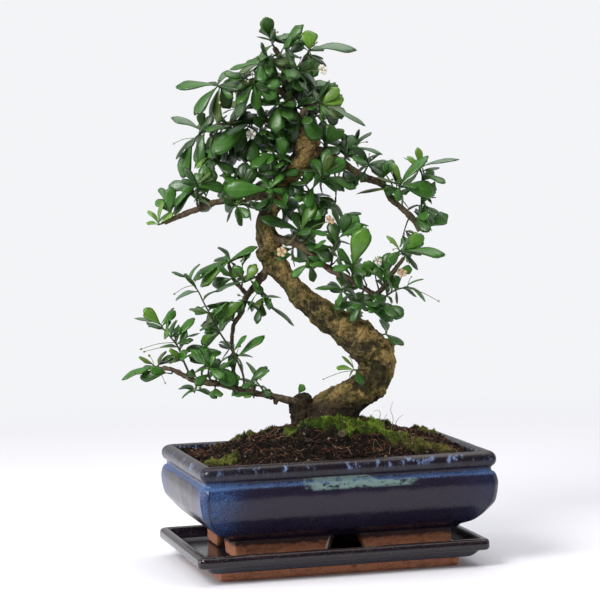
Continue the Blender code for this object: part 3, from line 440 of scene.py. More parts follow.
# Profiles as (how far in from the rim's outline, height)
POT_OUTSIDE = [(60, 32), (32, 32), (26.2, 35.6), (16.3, 40.3), (7.8, 49.4), (3.2, 54.6), (0.9, 59.2),
               (-0.9, 71.4), (0.2, 78.6), (1.6, 82.2), (3.6, 83.2), (3.8, 86.4), (1.4, 88.6), (0, 91.6),
               (0.2, 95.6), (2.2, 98.8), (6, 100.4)]
POT_INSIDE = [(9.8, 99.4), (12, 95), (12, 88), (9.5, 74), (11.5, 60), (17.5, 51), (36, 41), (60, 41)]
CORNER_POINTS = 14
SIDE_POINTS = (70, 48)
SHARPEST = 3


def smooth_run(points, step):
    """A Catmull-Rom curve through the points, as an array of rows about one step apart."""
    p = np.array(points, float)
    p = np.concatenate([[2 * p[0] - p[1]], p, [2 * p[-1] - p[-2]]])
    run = []
    for a, b, c, d in zip(p, p[1:], p[2:], p[3:]):
        t = np.linspace(0, 1, max(1, round(np.linalg.norm((c - b)[:3]) / step)), endpoint=False)[:, None]
        run.append(0.5 * (2 * b + (c - a) * t + (2 * a - 5 * b + 4 * c - d) * t ** 2
                          + (3 * b - a - 3 * c + d) * t ** 3))
    return np.concatenate([*run, p[-2:-1]])


def oblong(size, corner):
    """An oblong with round corners, anticlockwise, as the middle of the corner's arc and the direction
    outwards for each point: the point itself is middle + direction * radius."""
    middles, ways = [], []
    centres = np.array(CORNERS) * (np.array(size) / 2 - corner)
    for quarter, centre in enumerate(centres):
        angle = math.pi / 2 * (quarter + np.linspace(0, 1, CORNER_POINTS))
        way = np.stack([np.cos(angle), np.sin(angle)], -1)
        count = SIDE_POINTS[quarter % 2]
        onward = (centres[(quarter + 1) % 4] - centre) * np.linspace(0, 1, count + 2)[1:-1, None]
        middles += [np.repeat(centre[None], CORNER_POINTS, 0), centre + onward]
        ways += [way, np.repeat(way[-1:], count, 0)]
    return np.concatenate(middles), np.concatenate(ways)


def vessel(size, corner, profile, shift=0.0):
    """Rings of an oblong vessel: each profile row (inset, height) is the oblong drawn in by the inset.

    The corner's radius shrinks by half the inset, down to the sharpest one.
    """
    rings = []
    for inset, height in profile:
        radius = max(corner - inset * 0.5, SHARPEST)
        middles, ways = oblong((size[0] - 2 * inset, size[1] - 2 * inset), radius)
        ring = middles + ways * radius
        rings.append(np.column_stack([ring[:, 0] + shift, ring[:, 1], np.full(len(ring), height)]))
    return np.stack(rings) * MM


print("an oblong has", len(oblong(RIM_SIZE, POT_CORNER)[0]), "points")

# %% Pot wall
PROFILE_STEP = 1.6
OUTER_SHARE = 0.6
BELLY = ((40, 48, 79, 82), (0, 1, 1, 0))
RIDGE_TURN, RIDGE_WIDTH, RIDGE_HEIGHT = 0.32, 0.13, 0.55

pot_profile = smooth_run([*POT_OUTSIDE, *POT_INSIDE], PROFILE_STEP)
pot_rings = vessel(RIM_SIZE, POT_CORNER, pot_profile)
way = oblong(RIM_SIZE, POT_CORNER)[1]
turn = np.abs(np.abs(np.arctan2(way[:, 1], way[:, 0])) - math.pi / 2)
turn = np.where(turn > math.pi / 4, math.pi / 2 - turn, turn)
outside = np.arange(len(pot_profile)) < len(pot_profile) * OUTER_SHARE
belly = np.interp(pot_rings[..., 2] / MM, *BELLY) * outside[:, None]
ridge = np.exp(-((turn[None] - RIDGE_TURN) / RIDGE_WIDTH) ** 2) * belly
wobble = 0.5 * rough(pot_rings, 46, 3, 11) + 0.12 * rough(pot_rings, 7, 2, 12)
outwards = np.append(way, np.zeros((len(way), 1)), 1)
pot_rings = pot_rings + outwards * ((wobble + RIDGE_HEIGHT * ridge) * MM)[..., None]
around = pot_rings.shape[1]
pot_fields = {"inner": np.concatenate([np.repeat(~outside, around), [0, 1]]),
              "corner_line": np.concatenate([ridge.ravel(), [0, 0]])}
print("pot wall:", len(pot_rings), "rings of", around, "points")

# %% [markdown]
# The glaze is one deep blue-black glass over brown clay. Where it ran thin, on the rim and on edges,
# the clay shows through brown and the glass turns milky blue. Where it pooled, at the corners and on the
# ledge under the rim, it is speckled with bright blue. The corners on the right are painted less blue,
# as shade on the side away from the light.

# %% Pot glaze
paint = Paint("pot_glaze_blue", IOR=1.5, Specular_IOR_Level=0.33, Coat_Weight=0.08, Coat_Roughness=0.1)
x, y, z = paint.axes(paint.place)
cloud = paint.noise(0.03, 4, 0.6)
soft = paint.noise(0.009, 3, 0.6)
fine = paint.noise(0.0010, 3, 0.75)
runs = paint.noise(0.010, 4, 0.75, stretch=(1, 1, 0.35))
flakes = paint.noise(0.008, 5, 0.7, stretch=(1, 1, 2.2))
from_corner = ((abs(x) - RIM_SIZE[0] / 2 * MM) ** 2 + (abs(y) - RIM_SIZE[1] / 2 * MM) ** 2) ** 0.5
# Painted shade: the pooled blue at the corners is cut to three tenths on the right, away from the light
corner = (from_corner + (cloud - 0.5) * 0.04).step(0.050, 0.002) * x.step(0.04, 0.1, 1.0, 0.3)
ledge = z.band(0.0795, 0.0822, 0.0838, 0.0862)
rim, crest = z.step(0.0865, 0.089), z.step(0.0975, 0.0996)
speckle = (fine + corner * 0.10 + ledge * 0.16 + (soft - 0.5) * 0.25).step(0.52, 0.72)
pooled = (corner * 0.8 + ledge * 0.6 + cloud * 0.2).step(0.05, 0.9)
milky = runs.step(0.55, 0.66) * (z + runs * 0.006).step(0.0955, 0.0985)
milky = milky * z.step(0.1002, 0.0985)
drip = runs.step(0.42, 0.6) * z.band(0.0885, 0.0905, 0.092, 0.0945)
patch = abs(x - 0.008 + (soft - 0.5) * 0.03).step(0.049, 0.042) * z.step(0.0755, 0.078)
patch = patch * (z + x.step(0.012, 0.024) * 0.0048).step(0.0875, 0.0862)
patch = patch * y.step(-0.084, -0.088) * flakes.step(0.38, 0.5)
colour = paint.coats(
    paint.mix(cloud, (0.008, 0.007, 0.018), (0.017, 0.012, 0.026)),
    (soft.step(0.5, 0.72, 0.0, 0.5), (0.020, 0.013, 0.020)),
    (corner * 0.75, (0.013, 0.028, 0.088)),
    (speckle * pooled, (0.045, 0.095, 0.24)),
    (ledge * fine.step(0.5, 0.66) * 0.6, (0.10, 0.18, 0.36)),
    (paint.field("corner_line") * 0.75, (0.010, 0.008, 0.014)),
    (rim * 0.9, paint.mix(paint.noise(0.009, 4), (0.004, 0.004, 0.008), (0.018, 0.011, 0.014))),
    (milky * 0.85, (0.17, 0.24, 0.42)),
    (drip * 0.3, (0.03, 0.045, 0.10)),
    (crest * 0.4, (0.040, 0.022, 0.018)),
    (patch * (0.65 + 0.3 * fine), (0.165, 0.255, 0.24)),
    (paint.field("inner") * 0.8, (0.05, 0.03, 0.02)))
rough_here = 0.20 + 0.12 * cloud + 0.12 * speckle + 0.2 * patch
pits = paint.bump(paint.noise(0.004, 3, 0.6) + 0.6 * paint.noise(0.0012, 2), 0.00028, 0.8)
pot_glaze = paint.wear(Base_Color=colour, Roughness=rough_here, Normal=pits)
pot_wall = piece("pot_wall", with_poles(pot_rings), capped_faces(len(pot_rings), around), pot_glaze,
                 ["pot"], pot_fields)
print("pot wall has", faces_of(pot_wall), "triangles")

# %% [markdown]
# ## The feet
# Four corner feet in bare orange clay carry the pot. Each is a bar bent round the corner, whose ends
# slope so that the gaps between feet are wider at the table. The bar is a square section carried along
# an L-shaped path, roughened a little, with painted shade darkening its upper part under the pot's belly.

# %% Feet
SAUCER_FLOOR = 15.3
FOOT_OUTLINE = (192, 116)
FOOT_WALL = 11
FOOT_BOTTOM, FOOT_TOP = 15.6, 36
GAP_BOTTOM, GAP_TOP = 19, 11.8
FOOT_ROWS, FOOT_SECTION = 90, 44
FOOT_SQUARE, FOOT_LUMPS = 0.86, 0.035


def foot(sx, sy):
    """One corner foot. Column v goes round a rounded square section, row u runs along the L: the place
    along each arm is a ramp cut off at the corner, which bends the bar square."""
    u = np.linspace(-1, 1, FOOT_ROWS)[:, None]
    angle = np.linspace(0, math.tau, FOOT_SECTION, endpoint=False)[None]
    soft = np.maximum(np.abs(np.cos(angle)), np.abs(np.sin(angle))) ** FOOT_SQUARE
    inward = (0.5 - 0.5 * np.cos(angle) / soft) * FOOT_WALL
    risen = 0.5 + 0.5 * np.sin(angle) / soft
    gap = GAP_BOTTOM + (GAP_TOP - GAP_BOTTOM) * risen
    px = gap + (FOOT_OUTLINE[0] / 2 - inward - gap) * np.clip(u + 1, 0, 1)
    py = gap + (FOOT_OUTLINE[1] / 2 - inward - gap) * np.clip(1 - u, 0, 1)
    pz = np.broadcast_to(FOOT_BOTTOM + risen * (FOOT_TOP - FOOT_BOTTOM), px.shape)
    rings = np.stack([px * sx, py * sy, pz], -1) * MM
    lumps = FOOT_LUMPS * rough(rings, 6, 3, 21)
    rings = rings + (rings - rings.mean(1, keepdims=True)) * lumps[..., None]
    return rings if sx * sy > 0 else rings[:, ::-1]


feet = np.stack([with_poles(foot(sx, sy)) for sx in (1, -1) for sy in (1, -1)])
feet_faces = repeated(capped_faces(FOOT_ROWS, FOOT_SECTION), 4, feet.shape[1])
paint = Paint("bare_clay", Specular_IOR_Level=0.3)
_, _, z = paint.axes(paint.place)
cloud = paint.noise(0.01, 4, 0.6)
grit = paint.cells(0.0022).step(0.3, 0.12)
stain = paint.noise(0.017, 5, 0.65, 0.6).step(0.5, 0.72)
# Painted shade: the upper part of each foot, under the pot's belly, is darkened and made glossier
shade_under_belly = (z + (cloud - 0.5) * 0.008).step(0.0262, 0.0290)
seam = paint.noise(0.012, 5, 0.6, 0.9, stretch=(1, 1, 2.5))
crack = seam.band(0.462, 0.475, 0.485, 0.50)
colour = paint.coats(
    paint.mix(cloud, (0.50, 0.185, 0.095), (0.66, 0.30, 0.18)),
    (grit * 0.3, (0.46, 0.28, 0.18)),
    (stain * 0.45, (0.13, 0.05, 0.03)),
    (shade_under_belly * 0.9, (0.016, 0.013, 0.022)),
    (crack * 0.6, (0.04, 0.018, 0.012)))
bumps = paint.bump(paint.noise(0.0016, 4, 0.7) - crack * 0.6, 0.0004, 0.8)
clay = paint.wear(Base_Color=colour, Roughness=0.85 - shade_under_belly * 0.45, Normal=bumps)
pot_feet = piece("pot_feet", feet, feet_faces, clay, ["pot"])
print("feet have", faces_of(pot_feet), "triangles")

# %% [markdown]
# ## The saucer
# A shallow tray in near-black glaze, on a base of the same bare clay. Its profile is drawn the same
# way as the pot's wall. The tray and its base are two finishes on one casting, so two pieces share it.

# %% Saucer tray and base
SAUCER_SIZE = (256, 180)
SAUCER_SHIFT = -6
SAUCER_CORNER = 6
TRAY_PROFILE = [(60, 8.2), (22.5, 8.2), (14, 8.6), (9.5, 12), (7, 14.4), (1, 15.6), (0, 17), (0, 22),
                (1.5, 24.4), (4.5, 25), (7.5, 24.2), (10, 20.5), (14, 16.8), (20, SAUCER_FLOOR),
                (60, SAUCER_FLOOR)]
BASE_PROFILE = [(60, 0), (23.5, 0), (22, 1.2), (22, 7.4), (21, 8.6), (60, 8.6)]
BASE_STEP = 2.5

tray_rings = vessel(SAUCER_SIZE, SAUCER_CORNER, smooth_run(TRAY_PROFILE, PROFILE_STEP), SAUCER_SHIFT)
waves = 0.22 * rough(tray_rings, 40, 3, 31)
stays_flat = tray_rings[..., 2] < (SAUCER_FLOOR + 0.05) * MM
tray_rings[..., 2] += np.where(stays_flat, 0, waves * MM)
paint = Paint("saucer_glaze_black", IOR=1.45, Coat_Weight=0.1, Coat_Roughness=0.03)
_, y, z = paint.axes(paint.place)
cloud = paint.noise(0.025, 4, 0.6)
thin = (z + (cloud - 0.5) * 0.004).step(0.0225, 0.0248)
spots = paint.noise(0.0011, 2).step(0.55, 0.7) * z.step(0.0165, 0.0185)
# Pale streaks along the front of the rim: partly scuffs, partly painted highlights
scuff_and_glint = paint.noise(0.009, 5, 0.75, stretch=(0.35, 1, 1)).step(0.57, 0.66)
scuff_and_glint = scuff_and_glint * z.step(0.0232, 0.0246) * y.step(-0.08, -0.084)
dust = paint.noise(0.004, 5, 0.7).step(0.56, 0.8) * z.step(0.02, 0.017)
colour = paint.coats(
    paint.mix(cloud, (0.004, 0.003, 0.006), (0.016, 0.010, 0.014)),
    (thin * 0.5, (0.045, 0.026, 0.022)),
    (spots * 0.5, (0.10, 0.08, 0.085)),
    # Painted reflection: low down, on the tray's floor and under its lip, the glaze is a lighter slate blue
    (z.step(0.0158, 0.0145) * 0.7, (0.034, 0.034, 0.050)),
    (scuff_and_glint * 0.5, (0.20, 0.23, 0.20)),
    (dust * 0.25, (0.12, 0.10, 0.09)))
pits = paint.bump(paint.noise(0.005, 3, 0.6), 0.00015, 0.5)
tray_glaze = paint.wear(Base_Color=colour, Roughness=0.1 + 0.12 * cloud + 0.12 * dust, Normal=pits)
base_rings = vessel(SAUCER_SIZE, SAUCER_CORNER, smooth_run(BASE_PROFILE, BASE_STEP), SAUCER_SHIFT)
saucer_tray, saucer_base = (
    piece(name, with_poles(rings), capped_faces(*rings.shape[:2]), finish, ["saucer"])
    for name, rings, finish in (("saucer_tray", tray_rings, tray_glaze), ("saucer_base", base_rings, clay)))
print("saucer has", faces_of(saucer_tray) + faces_of(saucer_base), "triangles")

# %% [markdown]
# ## The soil
# The soil is heaped up to the trunk, so its height is one formula of the distance from the trunk's
# foot to the pot's walls. A fine grid carries that height with noise for the crumbly surface. Loose
# crumbs, stones, fibres and moss are then laid on the same formula, so that nothing floats.

# %% Ground height and where moss grows
SOIL_HALF = (117.5, 78.5)
SOIL_EDGE, SOIL_RISE, SOIL_FALL, SOIL_ROUND = 95.5, 32, 1.35, 2.4
SOIL_GRID = (212, 150)
SOIL_OVERLAP = 0.3
RIM_FADE = 0.03
# Heaps of moss against the trunk's foot as (x, y, height, half-length, half-width)
HEAPS = [(-20, -29, 9, 9, 8), (-3, -29, 6, 10, 8.5), (14, -28, 3, 11, 9)]
# The pot's inner wall as distances from the rim's inside and the soil's underside there
INNER_WALL = ([0, 1, 3, 6, 25, 60], [95.5, 86, 72, 51, 43, 43])
TRUNK_FOOT = np.array(at(7, 0, 0))[:2] / MM
# Moss as (x, y, half-length, half-width, how yellow and dry it is)
MOSS = [(-10, -27, 13, 8, 0.0), (12, -31, 20, 11, 0.0), (32, -33, 22, 12, 0.0), (48, -42, 17, 10, 0.1),
        (78, -54, 26, 9, 0.85), (-101, -40, 15, 11, 0.6), (52, 36, 30, 18, 0.3), (-58, 42, 26, 14, 0.5),
        (0, 52, 24, 12, 0.2), (96, 20, 12, 22, 0.6), (-35, -20, 9, 7, 0.2)]
RAGGED, MOSS_EDGE = 0.42, 0.28


def ground(x, y):
    """Height of the bare mound in millimetres: edge + rise * (1 - reach^fall), where reach is the
    rounded-oblong distance from the trunk's foot, 1 at the walls."""
    reach = (np.abs((x - TRUNK_FOOT[0]) / SOIL_HALF[0]) ** SOIL_ROUND
             + np.abs((y - TRUNK_FOOT[1]) / SOIL_HALF[1]) ** SOIL_ROUND) ** (1 / SOIL_ROUND)
    return SOIL_EDGE + SOIL_RISE * (1 - np.minimum(1, reach) ** SOIL_FALL)


def flat_points(x, y):
    """Points in metres at height 0, to read noise at."""
    return np.stack([x, y, np.zeros_like(x)], -1) * MM


def moss_cover(x, y):
    """How mossy (0 to 1) and how dry a spot is: the nearest oval's edge, broken up by noise."""
    ragged = RAGGED * rough(flat_points(x, y), 9, 3, 41)
    cover, dry = np.zeros_like(x), np.zeros_like(x)
    for mx, my, length, width, dryness in MOSS:
        away = np.hypot((x - mx) / length, (y - my) / width)
        here = np.clip((1 - away + ragged) / MOSS_EDGE, 0, 1)
        dry = np.where(here > cover, dryness, dry)
        cover = np.maximum(cover, here)
    return cover, dry


def surface(x, y):
    """The finished ground: mound, clods, holes, cushions of moss, and its heaps as e^(-distance^2)."""
    p = flat_points(x, y)
    clods = 1.8 * rough(p, 13, 3, 42) + 1.7 * np.maximum(0, rough(p, 4.5, 3, 43))
    holes = 0.9 * np.maximum(0, rough(p, 6, 2, 45))
    cushion = moss_cover(x, y)[0] * (1.8 + 3.2 * np.abs(rough(p, 6, 3, 44)))
    heaps = sum(tall * np.exp(-((x - hx) / length) ** 2 - ((y - hy) / width) ** 2)
                for hx, hy, tall, length, width in HEAPS)
    return ground(x, y) + (clods - holes) + cushion + heaps


print("the mound's top is", round(ground(*TRUNK_FOOT), 1), "mm up")

# %% Soil body
columns, rows = SOIL_GRID
u, v = np.meshgrid(np.linspace(-1, 1, columns), np.linspace(-1, 1, rows))
soil_x, soil_y = u * (SOIL_HALF[0] + SOIL_OVERLAP), v * (SOIL_HALF[1] + SOIL_OVERLAP)
rim_fade = np.clip((1 - np.maximum(np.abs(u), np.abs(v))) / RIM_FADE, 0, 1)
z = SOIL_EDGE + (surface(soil_x, soil_y) - SOIL_EDGE) * rim_fade
from_wall = np.minimum((1 - np.abs(u)) * SOIL_HALF[0], (1 - np.abs(v)) * SOIL_HALF[1])
upper = np.stack([soil_x, soil_y, z], -1)
lower = np.stack([soil_x, soil_y, np.interp(from_wall, *INNER_WALL)], -1)[1:-1, 1:-1]
points = np.concatenate([upper.reshape(-1, 3), lower.reshape(-1, 3)])
cover, dry = moss_cover(points[:, 0], points[:, 1])
paint = Paint("potting_soil", Specular_IOR_Level=0.12)
fine = paint.noise(0.0028, 5, 0.7)
bits = paint.cells(0.0045).step(0.26, 0.1) * paint.noise(0.012, 2).step(0.5, 0.62)
film = paint.noise(0.02, 3).step(0.55, 0.7, 0.0, 0.35)
green = paint.grained(fine, 0.35, 0.72, (0.008, 0.020, 0.003), (0.07, 0.14, 0.012))
straw = paint.grained(fine, 0.35, 0.72, (0.022, 0.020, 0.007), (0.14, 0.125, 0.04))
colour = paint.coats(
    paint.grained(fine, 0.42, 0.72, (0.002, 0.0015, 0.0012), (0.028, 0.014, 0.009)),
    (bits * 0.6, (0.17, 0.12, 0.06)),
    (film, (0.036, 0.034, 0.012)),
    (paint.field("moss"), paint.mix(paint.field("dry"), green, straw)))
bumps = paint.bump(paint.noise(0.0011, 4, 0.75) + 0.6 * fine, 0.0014, 1.0)
earth_paint = paint.wear(Base_Color=colour, Roughness=0.88 - 0.25 * fine, Normal=bumps)
earth = piece("earth", points * MM, two_sided(rows, columns), earth_paint, ["soil"],
              {"moss": cover, "dry": dry})
print("soil has", faces_of(earth), "triangles and rises to", round(float(z.max())), "mm")

# %% [markdown]
# Crumbs and stones are one lumpy twenty-sided ball, turned, squashed and scaled anew for each. All of
# them are made in one array: copies x points x 3.

# %% Crumbs and stones
GOLD = (1 + 5 ** 0.5) / 2
BALL = np.array([(-1, GOLD, 0), (1, GOLD, 0), (-1, -GOLD, 0), (1, -GOLD, 0), (0, -1, GOLD), (0, 1, GOLD),
                 (0, -1, -GOLD), (0, 1, -GOLD), (GOLD, 0, -1), (GOLD, 0, 1), (-GOLD, 0, -1), (-GOLD, 0, 1)])
BALL = BALL / np.linalg.norm(BALL[0])
BALL_FACES = np.array([(0, 11, 5), (0, 5, 1), (0, 1, 7), (0, 7, 10), (0, 10, 11), (1, 5, 9), (5, 11, 4),
                       (11, 10, 2), (10, 7, 6), (7, 1, 8), (3, 9, 4), (3, 4, 2), (3, 2, 6), (3, 6, 8),
                       (3, 8, 9), (4, 9, 5), (2, 4, 11), (6, 2, 10), (8, 6, 7), (9, 8, 1)])
BALL_FACES = np.concatenate([BALL_FACES, BALL_FACES[:, 2:]], 1)
TRUNK_CLEAR = 22
MOSSY, BARE_SOIL = 0.45, 0.3


def turns(count, chance):
    """Random turns as matrices, from four normal numbers each taken as a unit quaternion."""
    q = chance.normal(size=(count, 4))
    w, i, j, k = (q / np.linalg.norm(q, axis=1, keepdims=True)).T
    return np.stack([1 - 2 * (j * j + k * k), 2 * (i * j - k * w), 2 * (i * k + j * w),
                     2 * (i * j + k * w), 1 - 2 * (i * i + k * k), 2 * (j * k - i * w),
                     2 * (i * k - j * w), 2 * (j * k + i * w), 1 - 2 * (i * i + j * j)], -1).reshape(-1, 3, 3)


def spots_on_soil(count, chance, mossy=None):
    """Random spots on the soil, clear of the trunk: (x, y), only bare or only mossy ones if asked."""
    x = chance.uniform(-SOIL_HALF[0] + 2, SOIL_HALF[0] - 2, count * 12)
    y = chance.uniform(-SOIL_HALF[1] + 2, SOIL_HALF[1] - 2, count * 12)
    keep = np.hypot(x - TRUNK_FOOT[0], y - TRUNK_FOOT[1]) > TRUNK_CLEAR
    if mossy is not None:
        cover = moss_cover(x, y)[0]
        keep &= (cover > MOSSY) if mossy else (cover < BARE_SOIL)
    return x[keep][:count], y[keep][:count]


def crumbs(count, sizes, seed, mossy=None, sunk=0.2):
    """Lumpy balls lying on the soil: each ball's points are pushed out or in by chance, scaled on
    three axes, turned, and set down on the ground."""
    chance = np.random.default_rng(seed)
    x, y = spots_on_soil(count, chance, mossy)
    count = len(x)
    size = sizes[0] + (sizes[1] - sizes[0]) * chance.random(count) ** 2.5
    shape = BALL[None] * chance.uniform(0.7, 1.15, (count, 12, 1)) * chance.uniform(0.55, 1, (count, 1, 3))
    shape = np.einsum("nij,npj->npi", turns(count, chance), shape) * size[:, None, None]
    centre = np.stack([x, y, surface(x, y) + size * (0.5 - sunk)], -1)
    tone = np.repeat(chance.random(count), 12)
    return (shape + centre[:, None]) * MM, repeated(BALL_FACES, count, 12), tone


paint = Paint("soil_crumbs", Specular_IOR_Level=0.15)
fine = paint.noise(0.0016, 3, 0.6)
colour = paint.ramp(paint.field("tone"), (0, (0.002, 0.0014, 0.001)), (0.7, (0.009, 0.005, 0.0035)),
                    (0.93, (0.045, 0.025, 0.016)), (0.985, (0.20, 0.14, 0.08)))
colour = paint.mix(fine * 0.5, colour, (0.008, 0.005, 0.004))
crumb_paint = paint.wear(Base_Color=colour, Roughness=0.75 + 0.2 * fine, Normal=paint.bump(fine, 0.0004))
paint = Paint("small_stones")
colour = paint.ramp(paint.field("tone"), (0, (0.20, 0.15, 0.09)), (0.4, (0.36, 0.28, 0.14)),
                    (0.7, (0.30, 0.17, 0.10)), (0.9, (0.42, 0.40, 0.35)))
colour = paint.mix(paint.noise(0.001, 3) * 0.5, colour, (0.08, 0.05, 0.03))
stone_paint = paint.wear(Base_Color=colour, Roughness=0.6 + 0.2 * paint.noise(0.002))
loose = []
for name, finish, how in (("soil_crumbs", crumb_paint, (5600, (0.4, 2.0), 51, False)),
                          ("small_stones", stone_paint, (120, (0.8, 1.9), 52))):
    points, faces, tone = crumbs(*how)
    loose.append(piece(name, points, faces, finish, ["soil"], {"tone": tone}, smooth=False))
print("loose crumbs and stones:", sum(map(faces_of, loose)), "triangles")

# %% [markdown]
# Fibres, rootlets and twigs are thin three-sided tubes that follow the ground. The moss is thousands
# of tiny pointed shoots, each a three-sided spike, thick on the cushions and thin at their edges.

# %% Fibres, rootlets and moss shoots
THREAD_MARGIN = 1.5


def threads(count, length, thick, curl, seed, rows=7, lift=0.4):
    """Thin tubes on the ground: start + heading * length * t + sideways * curl * t^2, on the surface."""
    chance = np.random.default_rng(seed)
    x, y = spots_on_soil(count, chance)
    count = len(x)
    t = np.linspace(0, 1, rows)[None]
    heading = chance.uniform(0, math.tau, (count, 1))
    reach = chance.uniform(*length, (count, 1))
    bend = chance.uniform(-curl, curl, (count, 1)) * reach
    px = x[:, None] + np.cos(heading) * reach * t - np.sin(heading) * bend * t ** 2
    py = y[:, None] + np.sin(heading) * reach * t + np.cos(heading) * bend * t ** 2
    px, py = (np.clip(p, THREAD_MARGIN - half, half - THREAD_MARGIN) for p, half in zip((px, py), SOIL_HALF))
    pz = surface(px, py) + lift + chance.uniform(0, 1.2, (count, 1)) * np.sin(t * math.pi)
    centre = np.stack([px, py, pz], -1)
    angle = math.tau * np.arange(3) / 3
    across = np.stack([-np.sin(heading), np.cos(heading), 0 * heading], -1)
    radius = chance.uniform(*thick, (count, 1)) * (1 - 0.5 * t)
    ring = centre[:, :, None] + radius[..., None, None] * (
        np.cos(angle)[None, None, :, None] * across[:, :, None]
        + np.sin(angle)[None, None, :, None] * np.array([0, 0, 1]))
    points = np.concatenate([ring.reshape(count, -1, 3), centre[:, :1], centre[:, -1:]], 1) * MM
    return points, repeated(capped_faces(rows, 3), count, rows * 3 + 2)


def plain_paint(name, first, second, size, roughness=0.7):
    """Two colours clouded together, for small bits."""
    paint = Paint(name)
    cloud = paint.noise(size, 3, 0.6)
    return paint.wear(Base_Color=paint.mix(cloud, first, second), Roughness=roughness + 0.2 * cloud)


fibre_paint = plain_paint("fibre_red", (0.07, 0.022, 0.012), (0.24, 0.085, 0.042), 0.006)
rootlet_paint = plain_paint("rootlet_pale", (0.14, 0.09, 0.045), (0.34, 0.26, 0.14), 0.005)
twig_paint = plain_paint("twig_dark", (0.012, 0.009, 0.007), (0.05, 0.033, 0.02), 0.004)
loose = []
for name, finish, how in (("soil_fibres", fibre_paint, (1100, (2.5, 10), (0.12, 0.3), 0.7, 61, 7, 0.9)),
                          ("rootlets", rootlet_paint, (110, (4, 17), (0.12, 0.34), 0.6, 62, 12, 0.5)),
                          ("soil_twigs", twig_paint, (26, (5, 16), (0.4, 0.8), 0.15, 63, 6, 0.9))):
    points, faces = threads(*how)
    loose.append(piece(name, points, faces, finish, ["soil"]))

chance = np.random.default_rng(71)
x, y = spots_on_soil(13000, chance, True)
count = len(x)
cover, dry = moss_cover(x, y)
clump = np.clip(0.5 + 0.9 * rough(flat_points(x, y), 6, 2, 46), 0, 1)
tall = chance.uniform(0.7, 1.6, count) + 1.5 * clump
foot = np.stack([x, y, surface(x, y) - 0.4], -1)
lean = np.stack([*(chance.normal(size=(2, count)) * 0.35), np.ones(count)], -1)
angle = math.tau * (np.arange(3) / 3 + chance.random(count)[:, None])
ring = np.stack([np.cos(angle), np.sin(angle), 0 * angle], -1)
ring = ring * chance.uniform(0.24, 0.5, count)[:, None, None]
points = np.concatenate([foot[:, None] + ring, (foot + lean * tall[:, None])[:, None]], 1) * MM
spike = np.array([(0, 1, 3, 3), (1, 2, 3, 3), (2, 0, 3, 3), (2, 1, 0, 0)])
paint = Paint("moss_shoots", Specular_IOR_Level=0.2)
tone = paint.field("tone")
green = paint.mix(tone ** 1.7, (0.014, 0.034, 0.004), (0.42, 0.64, 0.06))
straw = paint.mix(tone, (0.06, 0.055, 0.012), (0.38, 0.34, 0.10))
colour = paint.mix(paint.field("dry"), green, straw)
# Painted shade: each shoot darkens to near black towards its foot, down among the other shoots
colour = paint.mix((1 - paint.field("tip")) * 0.75, colour, (0.006, 0.012, 0.002))
moss_paint = paint.wear(Base_Color=colour, Roughness=0.75 + 0.1 * tone)
fields = {"tone": np.repeat(clump * 0.65 + chance.random(count) * 0.35, 4), "dry": np.repeat(dry, 4),
          "tip": np.tile([0, 0, 0, 1], count)}
loose.append(piece("moss", points, repeated(spike, count, 4), moss_paint, ["soil"], fields,
                   smooth=False))
print("fibres, twigs and", count, "moss shoots:", sum(map(faces_of, loose)), "triangles")

# %% [markdown]
# ## The trunk
# An old trunk that was bent in its youth: it swells at the soil, swings right, then left, and
# straightens into the crown. Its surface is a grid: rows along a smooth line through its middle,
# columns round it. Knobs and branch collars are raised by the same formula, so the wood flows into them.

# %% The wood's tables
TRUNK = [(5, 98, 0, 20), (6, 112, 0, 24), (7, 122, 0, 28), (9, 131, 0, 26), (16, 141, -2, 19.5),
         (27, 150, -4, 15), (39, 160, -7, 13.5), (46, 174, -9, 16), (43, 187, -10, 17), (29, 199, -8, 15),
         (9, 212, -5, 13), (-13, 229, -2, 12.2), (-27, 245, 0, 9.8), (-38, 261, 3, 10), (-43, 275, 4, 10.6),
         (-47, 292, 4, 8.6), (-47, 302, 4, 7.8), (-40, 316, 5, 8.2), (-29, 333, 5, 7.6), (-18, 349, 5, 8.6),
         (-10, 364, 5, 11), (-9, 377, 5, 10.4), (-10, 386, 5, 7)]
STUMP = [(-8, 110, 0, 13), (-15, 126, 0, 13), (-20, 140, 0, 11.5), (-22, 149, 0, 10.2)]
KNOBS = [(56, 189, -12, 7.5), (34, 182, -20, 7), (-2, 118, -17, 12), (30, 119, -12, 13), (22, 121, 17, 14),
         (-50, 272, -2, 6.5)]
